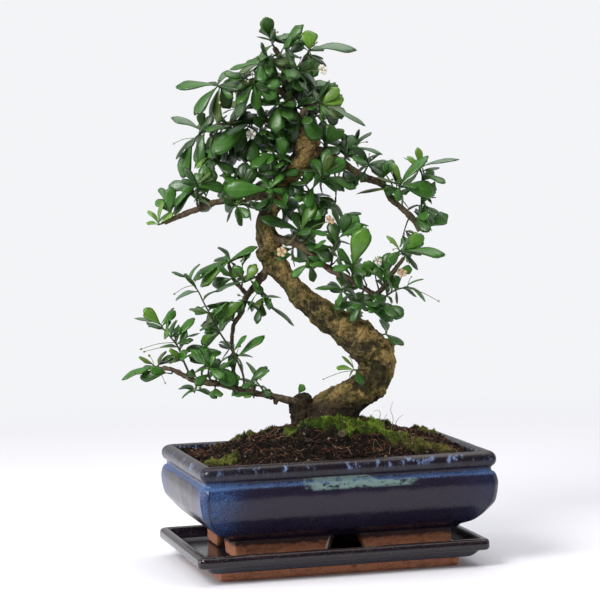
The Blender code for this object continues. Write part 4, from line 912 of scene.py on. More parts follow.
BRANCHES = {
    "low_left": [(-16, 139, -3, 4), (-31, 144, -10, 3.4), (-44, 148, -12, 2.9), (-58, 151, -13, 2.6),
        (-79, 157, -14, 2.5), (-94, 161, -14, 2.4), (-110, 163, -14, 2.3), (-120, 168, -15, 2.2),
        (-131, 174, -15, 2), (-140, 176, -16, 1.8)],
    "mid_left": [(-44, 262, 3, 4), (-57, 245, 8, 3), (-66, 234, 12, 2.6), (-71, 220, 15, 2.2),
        (-77, 211, 17, 2), (-79, 203, 18, 1.8), (-80, 193, 19, 1.6)],
    "mid_left_twig": [(-65, 236, 12, 2), (-76, 250, 10, 1.7), (-80, 262, 7, 1.5)],
    "upper_left": [(-38, 322, 2, 4), (-55, 323, -10, 3), (-74, 321, -15, 2.7), (-90, 319, -19, 2.6),
        (-104, 314, -22, 2.6), (-116, 310, -23, 2.5), (-134, 303, -25, 2.2)],
    "upper_right": [(-10, 364, 5, 4.5), (4, 361, 8, 3.6), (22, 350, 12, 3.2), (39, 338, 15, 3),
        (57, 330, 17, 2.8), (64, 318, 18, 2.7), (73, 309, 19, 2.6), (83, 299, 20, 2.4), (89, 288, 20, 2)],
    "mid_right": [(-44, 287, 0, 4.5), (-21, 281, -10, 3.3), (-10, 273, -13, 2.8), (7, 259, -17, 2.6),
        (26, 249, -21, 2.5), (38, 241, -24, 2.4), (50, 233, -26, 2.2)],
    "mid_right_rise": [(47, 235, -26, 2.1), (56, 244, -28, 2), (62, 254, -29, 1.9), (72, 267, -30, 1.7)],
    "crown": [(-10, 380, 5, 6), (-18, 391, 4, 4.4), (-23, 406, 2, 3.8), (-26, 424, 0, 3.2),
        (-28, 438, -2, 2.7), (-35, 452, -4, 2.1)],
    "crown_right": [(-25, 417, 1, 2.6), (-15, 428, 8, 2.2), (-8, 443, 13, 1.8)],
    "crown_left": [(-25, 410, 1, 3), (-40, 420, -8, 2.5), (-55, 423, -14, 2.3), (-68, 416, -19, 2.2),
        (-79, 417, -21, 1.9)],
    "crown_low_left": [(-17, 386, 5, 3.6), (-30, 391, 10, 2.8), (-43, 389, 14, 2.6), (-69, 388, 18, 2.3),
        (-96, 384, 22, 2)],
    "crown_spur": [(-9, 381, 2, 3.2), (-12, 394, -8, 2.5), (-1, 402, -14, 2)],
}
# Soft swellings and hollows of the bark: (across, up, back, spread, height)
SWELLS = [(51, 148, -8, 11, 6), (62, 173, -10, 10, 0.5), (27, 180, -9, 8, 2), (30, 166, -10, 6, -2.5),
          (20, 164, -9, 5, -3), (0, 158, -5, 8, -3.5), (-8, 147, -6, 9, -4.5), (-10, 137, -10, 9, -3.5),
          (14, 158, -5, 9, -2), (42, 131, -4, 8, 2), (61, 183, -12, 8, -2), (-36, 238, -4, 10, -2.6),
          (-18, 221, -4, 10, -2.8), (5, 200, -8, 12, -1.8), (18, 151, -14, 6, 2.5), (38, 142, -14, 6, 2.2),
          (57, 181, -20, 6, 2.5), (30, 205, -16, 7, 2), (0, 222, -14, 6, 1.8), (-8, 372, -6, 5, 1.5)]
TRUNK_STEP, TRUNK_AROUND = 0.62, 128
TO_WORLD = np.array([ACROSS, UP, BACK])


def world_of(rows):
    """World points, in millimetres, of rows of (across, up, back)."""
    return np.asarray(rows, float)[..., :3] @ TO_WORLD


def frames(centres):
    """Two directions square to a line at each of its points, carried along it without twisting."""
    ahead = np.gradient(centres, axis=0)
    ahead /= np.linalg.norm(ahead, axis=1, keepdims=True)
    start = np.eye(3)[np.argmin(np.abs(ahead[0]))]
    sides = [start]
    for direction in ahead:
        side = sides[-1] - direction * (sides[-1] @ direction)
        sides.append(side / np.linalg.norm(side))
    side = np.array(sides[1:])
    return side, np.cross(ahead, side)


def directions(centres, around):
    """Unit directions square to the line: rows x columns x 3."""
    side, other = frames(centres)
    angle = np.linspace(0, math.tau, around, endpoint=False)[None, :, None]
    return side[:, None] * np.cos(angle) + other[:, None] * np.sin(angle)


def exit_distance(centres, ways, ball, radius):
    """How far a ray from each centre goes before it leaves a ball, or 0 if it misses it or starts
    more than the ball's radius and a little over from its middle."""
    to_ball = ball - centres[:, None]
    along = (ways * to_ball).sum(-1)
    square = along ** 2 - (to_ball ** 2).sum(-1) + radius ** 2
    near = np.clip((radius + 12 - np.linalg.norm(to_ball, axis=-1)) / 4, 0, 1)
    return np.where(square > 0, np.maximum(0, along + np.sqrt(np.maximum(0, square))), 0) * near


def soft_most(a, b, blend):
    """The larger of two values, with the crease between them rounded off over the given width."""
    gap = np.clip(1 - np.abs(a - b) / blend, 0, 1)
    return np.maximum(a, b) + gap ** 2 * blend / 4


print(len(BRANCHES), "branches,", len(KNOBS), "knobs and", len(SWELLS), "swells")

# %% Trunk
KNOB_BLEND = 5
COLLAR_SPREAD, COLLAR_RISE = 1.5, 0.55
TOP_CLOSED = 0.7

run = smooth_run(TRUNK, TRUNK_STEP)
centres = world_of(run)
ways = directions(centres, TRUNK_AROUND)
along = np.arange(len(run))[:, None] * TRUNK_STEP
flutes = 0.05 * grain(ways * 1.5 * MM + along[..., None] * 0.02 * MM, 1, 81)
reach = run[:, 3:] * (1 + flutes)
for across, up, back, size in KNOBS:
    reach = soft_most(reach, exit_distance(centres, ways, world_of((across, up, back)), size), KNOB_BLEND)


def raised(reach, middle, spread, rise):
    """The trunk's surface with a swelling: rise * e^(-distance^2 / (2 spread^2)) round a place."""
    distance = ((centres[:, None] + ways * reach[..., None] - middle) ** 2).sum(-1)
    return reach + rise * np.exp(-distance / (2 * spread ** 2))


for (root, onward, *_), size in ((rows, rows[0][3]) for rows in BRANCHES.values()):
    way_out = world_of(onward) - world_of(root)
    collar = world_of(root) + way_out / np.linalg.norm(way_out) * size
    reach = raised(reach, collar, COLLAR_SPREAD * size, COLLAR_RISE * size)
for across, up, back, spread, rise in SWELLS:
    reach = raised(reach, world_of((across, up, back)), spread, rise)
skin = (centres[:, None] + ways * reach[..., None]) * MM
lumps = 1.5 * rough(skin, 12, 2, 82) + 1.15 * rough(skin, 4.6, 3, 83)
pits = np.clip(rough(skin, 3.4, 2, 84) - 0.35, 0, 1)
fissure = 1 - np.abs(rough(skin * np.array([1, 1, 0.6]), 6.5, 2, 85))
depth = lumps - 1.6 * pits - 0.5 * np.clip(fissure - 0.86, 0, 1) / 0.14
size_share = np.clip(run[:, 3:] / 14, 0.55, 1.15)
skin = skin + ways * (depth * size_share * MM)[..., None]
skin[-1:] += (skin[-1:].mean(1, keepdims=True) - skin[-1:]) * TOP_CLOSED
print("trunk:", skin.shape[0], "rings of", skin.shape[1], "points")

# %% [markdown]
# The bark is painted dark in its pits and cracks, as shade, and worn to a golden tan where it stands
# out. The side that faces up, right and a little forward, and the wood higher up, are painted more
# golden, as a painted highlight of the light. It has an olive film of algae, thicker low down, and
# painted shade darkens it near the soil, under the burl. Height, shade near the soil and facing are
# stored with each point, and the colours follow them.

# %% Bark
LIT_SIDE = np.array([0.65, 0.75, -0.15])
SHADE_TOP, SHADE_REACH = 153, 24

paint = Paint("bark_old", Specular_IOR_Level=0.3)
_, _, z = paint.axes(paint.place)
depth_here = paint.field("depth")
cloud = paint.noise(0.022, 5, 0.66)
fine = paint.noise(0.0026, 5, 0.78)
algae = paint.noise(0.024, 4, 0.65, stretch=(1, 1, 1.3)).step(0.42, 0.62)
# Painted light: wood that faces up, right and a little forward, and the wood higher up, turn more golden
painted_sunlight = z.step(0.32, 0.36) * 0.12 + paint.field("open_sky") * 0.13
wear_and_light = (depth_here * 0.10 + cloud * 1.45 - 0.225 + (fine - 0.5) * 0.6 + painted_sunlight).step(0.36, 0.76)
# Painted shade near the soil and under the burl: dark below a set height, broken up by noise
damp = (paint.field("damp") + (cloud - 0.5) * 1.5 + (fine - 0.5) * 0.7).step(0.22, 0.70)
speck = paint.cells(0.003).step(0.22, 0.1) * paint.noise(0.02, 2).step(0.52, 0.66)
colour = paint.coats(
    paint.grained(fine, 0.34, 0.66, (0.024, 0.019, 0.008), (0.17, 0.132, 0.048)),
    (algae * z.step(0.36, 0.22, 0.5, 1.0) * 0.75,
     paint.grained(fine, 0.34, 0.68, (0.030, 0.032, 0.007), (0.19, 0.185, 0.038))),
    (wear_and_light * 0.9, paint.grained(fine, 0.36, 0.66, (0.19, 0.125, 0.040), (0.54, 0.37, 0.135))),
    # Painted shade in the deepest pits and cracks
    (depth_here.step(-0.4, -1.5) * 0.7, (0.012, 0.009, 0.006)),
    (damp * 0.92, paint.grained(fine, 0.38, 0.7, (0.006, 0.0045, 0.0035), (0.046, 0.026, 0.016))),
    (speck * 0.5, (0.42, 0.40, 0.30)))
grit = paint.bump(paint.noise(0.0013, 4, 0.75) + fine * 0.9, 0.0014, 1.0)
bark = paint.wear(Base_Color=colour, Roughness=0.8 + 0.15 * fine, Normal=grit)
low_shade_share = np.clip((SHADE_TOP - skin[..., 2] / MM) / SHADE_REACH, 0, 1)
fields = {"depth": np.concatenate([depth.ravel(), [0, 0]]),
          "damp": np.concatenate([low_shade_share.ravel(), [1, 0]]),
          "open_sky": np.concatenate([(ways @ (LIT_SIDE @ TO_WORLD)).ravel(), [0, 0]])}
trunk = piece("trunk", with_poles(skin), capped_faces(*skin.shape[:2]), bark, ["tree"], fields)
print("trunk has", faces_of(trunk), "triangles")

# %% [markdown]
# ## The stump and the branches
# Beside the trunk stands the stump of an old shoot. The branches are thin and knuckled where
# leaves once grew. Each is the same kind of tube with its own table, and they overlap the wood that they
# grow from, as wood does.

# %% Stump and branches
# Short spurs on the low branch, a cut root in the moss, and a dead twig that hangs
STUBS = [[(-47, 148, -12, 2.4), (-48, 151.5, -12.5, 2.3), (-48.5, 154.5, -13, 1.5)],
         [(-41, 147, -11.5, 2.4), (-42, 143.5, -12.5, 2.1), (-42.5, 141, -13, 1.3)],
         [(-62, 152, -13, 2.2), (-62, 155.5, -13.5, 1.8), (-63, 157, -14, 1.2)],
         [(-74, 155, -14, 2.2), (-74.5, 151, -14.5, 1.8), (-74.5, 149, -15, 1.2)],
         [(14, 117, -41, 3), (15, 118, -47, 3.2), (15, 118, -48.5, 2.6)],
         [(15, 341, 11, 0.8), (16, 330, 9, 0.6), (15, 318, 8, 0.7), (14, 309, 8, 0.4)]]
STUMP_TOP = [(-21, 144.5, 0, 10), (-22, 147.5, 0, 6), (-22.5, 148.5, 0, 2)]
# The stump is painted almost wholly in the shade of the trunk's foot
STUMP_SHADE = 0.95


def limb(rows, step, around, lump, seed, end=1.0, knots=0.3):
    """A closed tube of wood along rows of (across, up, back, radius), uneven by noise and knuckled."""
    run = smooth_run(rows, step)
    middle = world_of(run)
    ways = directions(middle, around)
    radius = run[:, 3:] * (1 + knots * np.clip(grain(middle * MM, 6, seed), 0, 1)[:, None])
    radius[-1] *= end
    skin = (middle[:, None] + ways * radius[..., None]) * MM
    depth = rough(skin, 3.2 * lump ** 0.5, 3, seed + 1)
    skin = skin + ways * (depth * lump * MM)[..., None]
    return with_poles(skin), capped_faces(*skin.shape[:2]), np.concatenate([depth.ravel(), [0, 0]])


def joined(shapes):
    """Several shapes as one: the points, the faces with their numbers moved on, and whatever else each
    shape carries for its points, as an array or as a dict of arrays."""
    starts = np.cumsum([0] + [len(shape[0]) for shape in shapes[:-1]])
    moved = [(points, faces + start, *rest) for (points, faces, *rest), start in zip(shapes, starts)]
    return [{key: np.concatenate([one[key] for one in column]) for key in column[0]}
            if isinstance(column[0], dict) else np.concatenate(column) for column in zip(*moved)]


points, faces, depth = limb([*STUMP[:3], *STUMP_TOP], 0.8, 96, 1.9, 91, 0.5, 0.1)
fields = {"depth": depth, "damp": np.full(len(points), STUMP_SHADE), "open_sky": np.zeros(len(points))}
stump = piece("stump", points, faces, bark, ["tree"], fields)
paint = Paint("bark_young", Specular_IOR_Level=0.35)
fine = paint.noise(0.003, 4, 0.65)
colour = paint.coats(
    paint.grained(fine, 0.34, 0.66, (0.026, 0.018, 0.012), (0.15, 0.105, 0.062)),
    (paint.noise(0.016, 3).step(0.48, 0.62, 0.0, 0.6), (0.10, 0.092, 0.036)))
young_bark = paint.wear(Base_Color=colour, Roughness=0.7 + 0.2 * fine, Normal=paint.bump(fine, 0.0005))
points, faces, _ = joined([limb(rows, 1.0, 18, 0.42, 100 + i)
                           for i, rows in enumerate([*BRANCHES.values(), *STUBS])])
branches = piece("branches", points, faces, young_bark, ["tree"])
print("stump and branches have", faces_of(stump) + faces_of(branches), "triangles")

# %% [markdown]
# ## The leafy stems
# Each stem is named by where it grows, and each of its larger leaves is written down as it shows in
# the photograph: how far along the stem it grows, where its tip is seen, how wide it looks, and its
# tone. How far it leans to or away from the viewer can't be seen, so that is tried out until the
# leaf crosses nothing. The packed solids were made by the same rule from the same numbers, so each fine
# leaf lands on its solid.

# %% The stems' and flowers' tables


def stems_of(text):
    """Stems typed as text. Each has a name or none, a colon, the places (across, up, back) that it runs
    through from the wood, a colon, its leaves, and a semicolon. Commas part the places and the leaves.

    A leaf is how far along the stem it grows, where its tip is seen (across, up), how wide it looks, and
    its tone, which is dark where none is typed. A stem with no name is called a shoot and a number.
    """
    stems = {}
    for typed in text.split(";")[:-1]:
        *name, route, leaves = typed.split(":")
        leaves = [leaf.split() for leaf in leaves.split(",")]
        stems[name[0].strip() if name else f"shoot_{len(stems)}"] = (
            [tuple(map(float, place.split())) for place in route.split(",")],
            [(*map(float, leaf[:4]), leaf[4] if len(leaf) > 4 else "dark") for leaf in leaves])
    return stems


SPRAYS = stems_of("""
crown_tip: -35 452 -4, -39 461 -5: 1 -42 478 13 mid, 1 -24 458 7 pale, 0.8 -15 460 5 mid, 0.4 -48 458 4;
crown_right_tip: -8 443 13, -4 451 14: 1 -5 467 17 new, 0.7 -24 458 5, 1 40 451 11 pale, 0.6 8 450 7 mid,
    0.5 2 432 12 new, 0.3 10 434 5;
crown_upper_left: -29 443 -3, -31 446 -11, -38 443 -15, -48 437 -18: 0.2 -12 443 9 mid, 0.2 -22 433 8,
    0.6 -51 445 8 mid, 0.7 -55 441 7, 0.65 -51 425 12, 0.6 -38 422 12, 1 -74 433 5 mid, 1 -66 429 5 olive;
crown_left: -51 423 -13, -54 420 -22: 0.95 -80 423 11 mid, 0.6 -34 408 15 bright, 1 -51 397 11 bright,
    1 -70 391 11 pale;
crown_left_tip: -79 417 -21, -86 420 -23: 1 -121 418 9 mid, 1 -75 433 7 pale, 0.8 -105 394 11 mid,
    0.5 -86 387 10 olive, 0.4 -93 393 4;
crown_low_left: -76 388 19, -75 383 10, -74 382 5: 0.9 -97 359 18 bright, 1 -65 371 9 mid, 0.4 -93 398 7;
crown_side_left: -96 384 22, -103 379 23, -110 373 24: 0.3 -128 394 7 pale, 0.4 -104 370 11,
    1 -121 340 14 bright, 0.9 -125 357 5, 0.6 -90 395 9;
crown_low_mid: -50 389 15, -49 381 4, -54 374 0: 1 -58 352 13 mid, 0.5 -37 372 8, 0.7 -69 376 8;
crown_inner: -23 403 2, -33 402 -12: 0.9 -33 383 10 mid, 0.7 -44 386 8 mid, 0.6 -15 385 11;
crown_right: -24 415 2, -14 432 -9: 1 -14 413 15 bright, 0.95 1 419 9 pale, 0.75 -27 414 9;
crown_right_low: -21 399 3, -14 401 -8: 0.95 -2 418 11, 0.5 -1 373 14, 0.8 2 405 8;
crown_side_right: -1 402 -14, 6 399 -16: 0.8 20 415 12 new, 0.75 24 406 11 new, 0.9 18 384 11,
    1 47 378 4 pale, 0.35 13 422 4;
crown_back: -23 407 2, -12 415 30, -12 426 48: 1 4 410 11, 1 -28 434 11, 0.85 1 437 10 mid, 0.9 -19 410 11;
upper_left: -106 314 -22, -104 336 -24: 1 -130 334 11 pale, 1 -118 329 8 bright, 0.9 -128 316 7 bright,
    0.75 -127 310 8, 0.75 -117 350 7, 0.85 -81 331 11 bright, 0.6 -96 311 14 mid;
upper_left_high: -92 385 21, -94 366 12, -92 355 4: 1 -104 327 10 pale, 0.9 -106 350 5 new, 1 -74 343 9,
    0.7 -80 368 9;
upper_left_tip: -134 303 -25, -140 301 -25: 0.8 -134 322 5 new, 0.9 -148 314 5 new, 0.6 -125 311 5 new,
    1 -150 303 5 new;
upper_left_under: -74 321 -15, -71 314 -21: 0.8 -60 305 9 mid, 0.7 -79 303 6, 0.9 -69 301 5, 0.7 -58 315 5;
trunk_front: -38 306 0, -39 318 -17, -43 330 -20: 1 -83 330 18 bright, 1 -26 325 11 mid, 1 -54 346 9 mid,
    0.7 -53 313 7, 0.65 -29 313 6;
trunk_top_left: -20 348 5, -31 356 -2, -39 360 -8: 1 -51 344 11 mid, 1 -24 351 11, 0.9 -51 368 8,
    0.75 -38 340 9;
upper_right_near: -28 335 0, -10 326 -12, 6 340 -20: 0.9 -4 356 11 mid, 1 9 363 11 mid, 1 24 354 12 bright,
    1 23 326 8, 0.95 33 328 10 mid, 0.85 -7 350 8;
upper_right_back: 22 350 12, 29 359 22, 34 364 26: 1 49 376 6 mid, 1 58 356 5 mid, 0.7 20 377 7,
    0.6 15 368 6, 1 38 379 5;
upper_right_mid: 39 338 15, 45 348 8: 0.9 33 354 11 mid, 1 58 343 7 mid, 0.85 34 334 8, 0.9 54 356 6;
upper_right_far: 64 318 18, 70 325 8, 72 329 3: 1 98 354 11 bright, 1 104 322 17 bright, 0.75 58 324 11 mid,
    1 66 349 7 new, 0.55 33 323 5 olive, 0.9 50 336 6 olive, 0.65 75 311 9 mid;
upper_right_tip: 88 290 20, 91 311 20, 92 337 18, 90 345 17: 1 89 362 7 new, 0.97 126 349 5 pale,
    0.9 106 343 5, 0.85 111 331 6 mid, 0.35 113 298 6, 0.3 100 295 5, 0.45 104 317 5, 0.35 78 306 5,
    0.95 79 354 6 new;
middle: -23 281 -9, -16 292 -17: 1 -3 317 11 bright, 0.9 9 288 8 mid, 0.95 -52 304 11, 1 -22 309 8,
    0.65 -31 279 8;
middle_high: -22 343 8, -8 327 22, -1 313 26: 0.8 9 320 7, 0.95 2 298 7, 1 -13 306 7, 0.65 -19 317 7;
middle_right: 7 259 -17, 12 278 -12, 21 299 -6: 1 12 316 7 olive, 1 36 307 8 mid, 0.95 43 294 5 mid,
    0.65 1 290 6 olive, 0.5 26 279 6, 0.75 33 286 6, 0.4 -12 276 9;
right_front: 26 249 -21, 28 262 -31: 1 40 295 18 bright, 1 42 255 12 new, 1 11 260 7 mid, 0.9 13 276 8,
    0.7 33 243 8;
right_root: -10 273 -12, -9 263 -23: 0.95 -26 252 8 mid, 1 4 263 6 mid, 0.9 -7 248 8, 0.8 -25 268 7;
right_upper_tip: 72 267 -30, 68 274 -31: 1 90 286 14 bright, 0.8 108 269 8 mid, 0.7 84 256 6,
    0.6 48 252 11 pale, 1 58 287 5 new;
right_tip: 50 233 -26, 64 239 -27, 76 242 -28: 1 92 229 7 mid, 0.55 65 228 5, 0.9 87 249 6 mid,
    0.4 56 249 7, 0.8 82 233 5;
right_low: 38 241 -24, 37 226 -24: 0.9 10 224 7, 1 64 225 7, 1 62 212 11, 1 24 212 8, 0.8 48 232 7 mid;
right_mid: 26 249 -21, 18 239 -15: 1 -5 243 7 mid, 1 15 227 5 mid, 0.8 31 232 7;
right_under: 46 192 -10, 56 201 -22: 1 69 191 7, 0.9 49 212 6;
trunk_sprout: 42 168 -8, 26 171 -30: 0.9 12 172 5 new, 1 16 184 5 new, 0.9 23 164 5 new;
middle_left: -80 262 7, -78 268 2: 1 -54 279 8 mid, 0.8 -113 252 8 mid, 0.9 -106 245 11 bright,
    0.9 -89 279 5, 0.7 -72 254 7;
middle_left_low: -54 250 5, -67 248 -4: 0.85 -56 264 11 new, 0.95 -93 239 5 pale, 0.6 -51 237 8,
    0.9 -75 258 5 olive;
lower_left_front: -66 234 12, -67 231 2: 0.95 -95 217 17 bright, 0.9 -54 221 8, 1 -74 220 7;
middle_stub: -57 245 8, -50 237 0, -52 227 -2: 0.7 -36 232 5 mid, 1 -23 210 5 pale, 1 -57 212 7,
    0.6 -43 222 7;
long_stem: -69 155 -14, -70 168 -15, -78 188 -17, -88 204 -19, -96 220 -20, -102 232 -21, -107 243 -22,
    -114 252 -22: 0.9 -118 258 4, 0.8 -92 241 4, 0.88 -127 235 6 pale, 1 -127 260 5, 0.67 -113 226 6 olive,
    0.6 -104 208 10, 0.5 -106 196 11 bright, 0.3 -66 203 5 mid, 0.25 -49 200 7 mid, 0.7 -84 230 5,
    1 -107 264 5 mid;
left_up_twig: -121 168 -15, -121 180 -14, -127 195 -12, -138 209 -10, -141 214 -10: 1 -155 228 11 new,
    0.97 -164 220 4 pale, 0.95 -128 225 8 mid, 0.62 -111 218 8 mid, 0.55 -108 205 4 mid,
    0.68 -129 216 7 mid, 0.5 -142 192 5, 0.35 -141 182 5, 0.3 -132 192 8 new, 0.3 -88 186 7 mid,
    0.35 -105 195 8 pale, 0.85 -152 211 5;
left_tip: -140 176 -16, -148 178 -16: 0.95 -176 166 7 mid, 1 -160 186 5 new, 0.8 -164 172 5 mid,
    0.4 -139 190 6 olive;
left_front: -99 162 -14, -100 169 -24, -99 178 -28: 1 -75 161 15, 0.85 -113 168 8 mid, 1 -104 192 7 mid;
lower_middle: -80 193 19, -76 180 19: 1 -62 180 5 mid, 0.9 -90 176 5 mid, 1 -70 164 6, 0.6 -89 192 5;
left_under: -55 150 -13, -59 163 -19: 1 -47 173 5 mid, 0.9 -71 157 7, 1 -66 177 6 mid, 0.5 -78 153 8 olive,
    0.5 -48 145 6;
left_low: -110 163 -14, -113 153 -15: 0.7 -98 150 8 mid, 1 -123 148 6 mid, 0.6 -124 159 5;
back_middle: -43 268 4, -27 274 34, -19 276 58: 1 -3 281 11, 1 -33 285 11, 0.9 -14 261 11, 0.6 -41 271 10,
    1 -22 292 10;
back_right: 30 198 -2, 26 228 34, 21 234 50: 1 35 244 11, 1 7 242 11, 0.9 40 224 11, 0.95 19 248 10,
    0.8 13 222 10;
back_left: -44 310 4, -64 314 34, -76 323 50: 1 -90 319 11, 1 -63 331 11, 0.9 -83 309 10, 1 -82 337 10,
    0.75 -56 315 10;
""")

# Blooms and buds: the leafy stem, how far along it, and the place (across, up, back)
BLOOMS = {
    "bloom_crown_left": ("crown_low_mid", 0.5, (-57, 377, -9)),
    "bloom_crown_right": ("crown_right", 0.9, (6, 431, -16)),
    "bloom_middle": ("middle", 0.9, (9, 301, -22)),
    "bloom_trunk": ("middle", 0.5, (-33, 275, -24)),
    "bloom_right": ("right_tip", 0.7, (70, 254, -36)),
    "bloom_right_inner": ("right_front", 0.8, (49, 265, -34)),
}
BUDS = [
    ("crown_left_tip", 0.6, (-83, 405, -30)), ("crown_side_left", 0.8, (-126, 371, 20)),
    ("crown_side_right", 0.9, (9, 382, -24)), ("crown_low_mid", 0.6, (-44, 386, -8)),
    ("trunk_sprout", 0.7, (0, 164, -32)), ("long_stem", 0.95, (-127, 241, -26)),
    ("left_up_twig", 0.6, (-158, 193, -16)), ("left_up_twig", 0.5, (-155, 191, -20)),
    ("left_tip", 0.6, (-138, 163, -18)), ("right_tip", 0.9, (101, 229, -30)),
]

# Leaf form: lengths and thickness in millimetres, the others as shares of the leaf's length, and the
# rows of the plain leaf as (how far along, how wide)
LEAF_MOST, SMALL_LEAF = 42, 20
LEAF_THICK, LEAF_SUNK = 1.3, 0.7
LEAF_SHAPE, LEAF_ARCH, EDGE_DROOP = 0.42, 0.09, 0.16
LARGE_ROWS = [(0.5, 0.66), (0.8, 1)]
SMALL_ROWS = [(0.68, 1)]
TOOTH = (0.96, 0.5)
# How a leaf is tried out: likely lengths, angles in degrees, and sizes
LEAF_LENGTHS = (17, 26)
NEW_LEAF = 0.75
TILT_MOST, TILT_MORE = 66, 14
TURN_TRIES = [0, 10, -10, 20, -20, 34, -34, 50, -50, 70, -70]
SHRINKS = [1, 0.86, 0.72]
CLEARANCE = 0.7
INNER_REACH, INNER_WIDTH = 13, 9
# Stems, in millimetres
STEM_RADIUS = (1.1, 0.85)
STEM_SIDES = 4
STEM_STEP = 14
STEM_GAP = 0.45
STEM_ENDS = (2.2, 1.2)
RAY = 40
rng = random.Random(26)
print(len(SPRAYS), "stems with", sum(len(rows) for _, rows in SPRAYS.values()), "leaves written down")

# %% [markdown]
# To try out a leaf, a very plain model of it and of the wood is enough: tubes of few sides and leaves
# of about twenty triangles, searched for crossings with Blender's fast triangle tree.

# %% Plain stand-ins for the crossing tests


def plain_tube(rows, sides, lumps=0.0):
    """A closed tube along rows of (across, up, back, radius), its bent faces cut along one diagonal."""
    centres = [at(*row[:3]) for row in rows]
    side = (centres[1] - centres[0]).normalized().orthogonal().normalized()
    points = []
    for i, centre in enumerate(centres):
        onward = (centres[min(i + 1, len(rows) - 1)] - centres[max(i - 1, 0)]).normalized()
        side = (side - onward * side.dot(onward)).normalized()
        other = onward.cross(side)
        for k in range(sides):
            angle = math.tau * k / sides
            wave = lumps * (math.sin(3 * angle + 0.9 * i) + 0.7 * math.sin(2 * angle - 1.7 * i))
            radius = rows[i][3] * (1 + wave) * MM
            points.append(centre + (side * math.cos(angle) + other * math.sin(angle)) * radius)
    faces = [tuple(range(sides)), tuple(range(len(points) - 1, len(points) - sides - 1, -1))]
    for r in range(len(rows) - 1):
        for k in range(sides):
            a, b = r * sides + k, r * sides + (k + 1) % sides
            faces += [(b, a, a + sides), (b, a + sides, b + sides)]
    return points, faces


def plain_leaf(root, tip, normal, width, grow=0.0):
    """A leaf of one foot point, rows of edge, rib, edge and underside, and three teeth."""
    length = (tip - root).length
    onward = (tip - root).normalized()
    normal = (normal - onward * normal.dot(onward)).normalized()
    side = onward.cross(normal)
    half = (width / 2 + grow) * MM
    thick = (LEAF_THICK / 2 + grow) * MM
    rows = LARGE_ROWS if length > SMALL_LEAF * MM else SMALL_ROWS

    def spot(share, out, lift):
        arch = LEAF_ARCH * length * 4 * share * (1 - share)
        return root + onward * length * share + side * out + normal * (arch + lift)

    points = [root - onward * LEAF_SUNK * MM]
    for share, wide in rows:
        droop = -EDGE_DROOP * half * wide
        points += [spot(share, -half * wide, droop), spot(share, 0, thick)]
        points += [spot(share, half * wide, droop), spot(share, 0, -thick)]
    droop = -EDGE_DROOP * half
    tooth = half * TOOTH[1]
    points += [spot(TOOTH[0], -tooth, droop), spot(1, 0, 0), spot(TOOTH[0], tooth, droop)]
    faces = [(0, 1, 2), (0, 2, 3), (0, 3, 4), (0, 4, 1)]
    for r in range(len(rows) - 1):
        a, b = 4 * r + 1, 4 * r + 5
        for left, rib in ((0, 1), (2, 1)):
            faces += [(a + left, a + rib, b + rib), (a + left, b + rib, b + left)]
            faces += [(a + left, b + 3, a + 3), (a + left, b + left, b + 3)]
    a, t = 4 * len(rows) - 3, 4 * len(rows) + 1
    for left, tooth in ((0, t), (2, t + 2)):
        faces += [(a + left, a + 1, tooth), (a + 1, t + 1, tooth)]
        faces += [(a + left, tooth, a + 3), (a + 3, tooth, t + 1)]
    return points, faces


class Shape:
    """A plain stand-in: its search tree, its owner, and the ball that holds it."""

    def __init__(self, points, faces, owner=None):
        self.points, self.faces, self.owner = points, faces, owner
        self.whole = BVHTree.FromPolygons(points, faces)
        self.blade = None
        self.middle = sum(points, Vector()) / len(points)
        self.radius = max((p - self.middle).length for p in points)

    def blade_tree(self):
        """The search tree without the faces at the foot, made when it is first asked for."""
        if self.blade is None:
            self.blade = BVHTree.FromPolygons(self.points, [f for f in self.faces if min(f) > 0])
        return self.blade

    def near(self, other):
        """Whether the balls of the two shapes meet."""
        return (self.middle - other.middle).length < self.radius + other.radius

    def crosses(self, others):
        """Whether it cuts any of the other shapes."""
        return any(self.near(other) and self.whole.overlap(other.whole) for other in others)


print("a plain leaf has", len(plain_leaf(at(0, 0, 0), at(30, 0, 0), UP, 10)[1]), "triangles")

# %% Stems from the wood outwards


def seen(point, radius):
    """A world point as a (across, up, back, radius) row."""
    return (point.dot(ACROSS) / MM, point.z / MM, point.dot(BACK) / MM, radius)


def nearest_wood(point):
    """The nearest place on the trunk or a branch: point, direction, the run's name, and if it is its end."""
    best = None
    for name, run in wood_lines.items():
        away = [(p - point).length for p in run]
        i = away.index(min(away))
        if best is None or away[i] < best[0]:
            onward = (run[min(i + 1, len(run) - 1)] - run[max(i - 1, 0)]).normalized()
            best = (away[i], run[i], onward, name, i == len(run) - 1 and name != "trunk")
    return best[1:]


def stem_line(points):
    """The stem's centre line from just off the bark: square to it, or on from the end of a branch."""
    foot, onward, name, is_end = nearest_wood(at(*points[0]))
    later = [at(*p) for p in points[1:]]
    if is_end:
        out = onward
    else:
        aim = later[0] - foot
        out = (aim - onward * aim.dot(onward)).normalized()
    bark_spot, _, _, _ = wood[name].whole.ray_cast(foot + out * RAY * MM, -out, 2 * RAY * MM)
    start = bark_spot + out * STEM_GAP * MM
    line = [start, start + out * 2 * MM]
    line += [p for p in later if (p - start).length > 2.5 * MM]
    if len(line) == 2:
        line.append(start + out * 5 * MM)
    return [Vector(row) for row in smooth_run(line, STEM_STEP * MM)]


def along_stem(line, share):
    """A point on the stem's centre line, kept clear of both its ends, and the line's direction there."""
    lengths = [(b - a).length for a, b in zip(line, line[1:])]
    total = sum(lengths)
    reach = min(max(share * total, STEM_ENDS[0] * MM), total - STEM_ENDS[1] * MM)
    for (a, b), length in zip(zip(line, line[1:]), lengths):
        if reach <= length:
            break
        reach -= length
    return a.lerp(b, reach / length), (b - a).normalized()


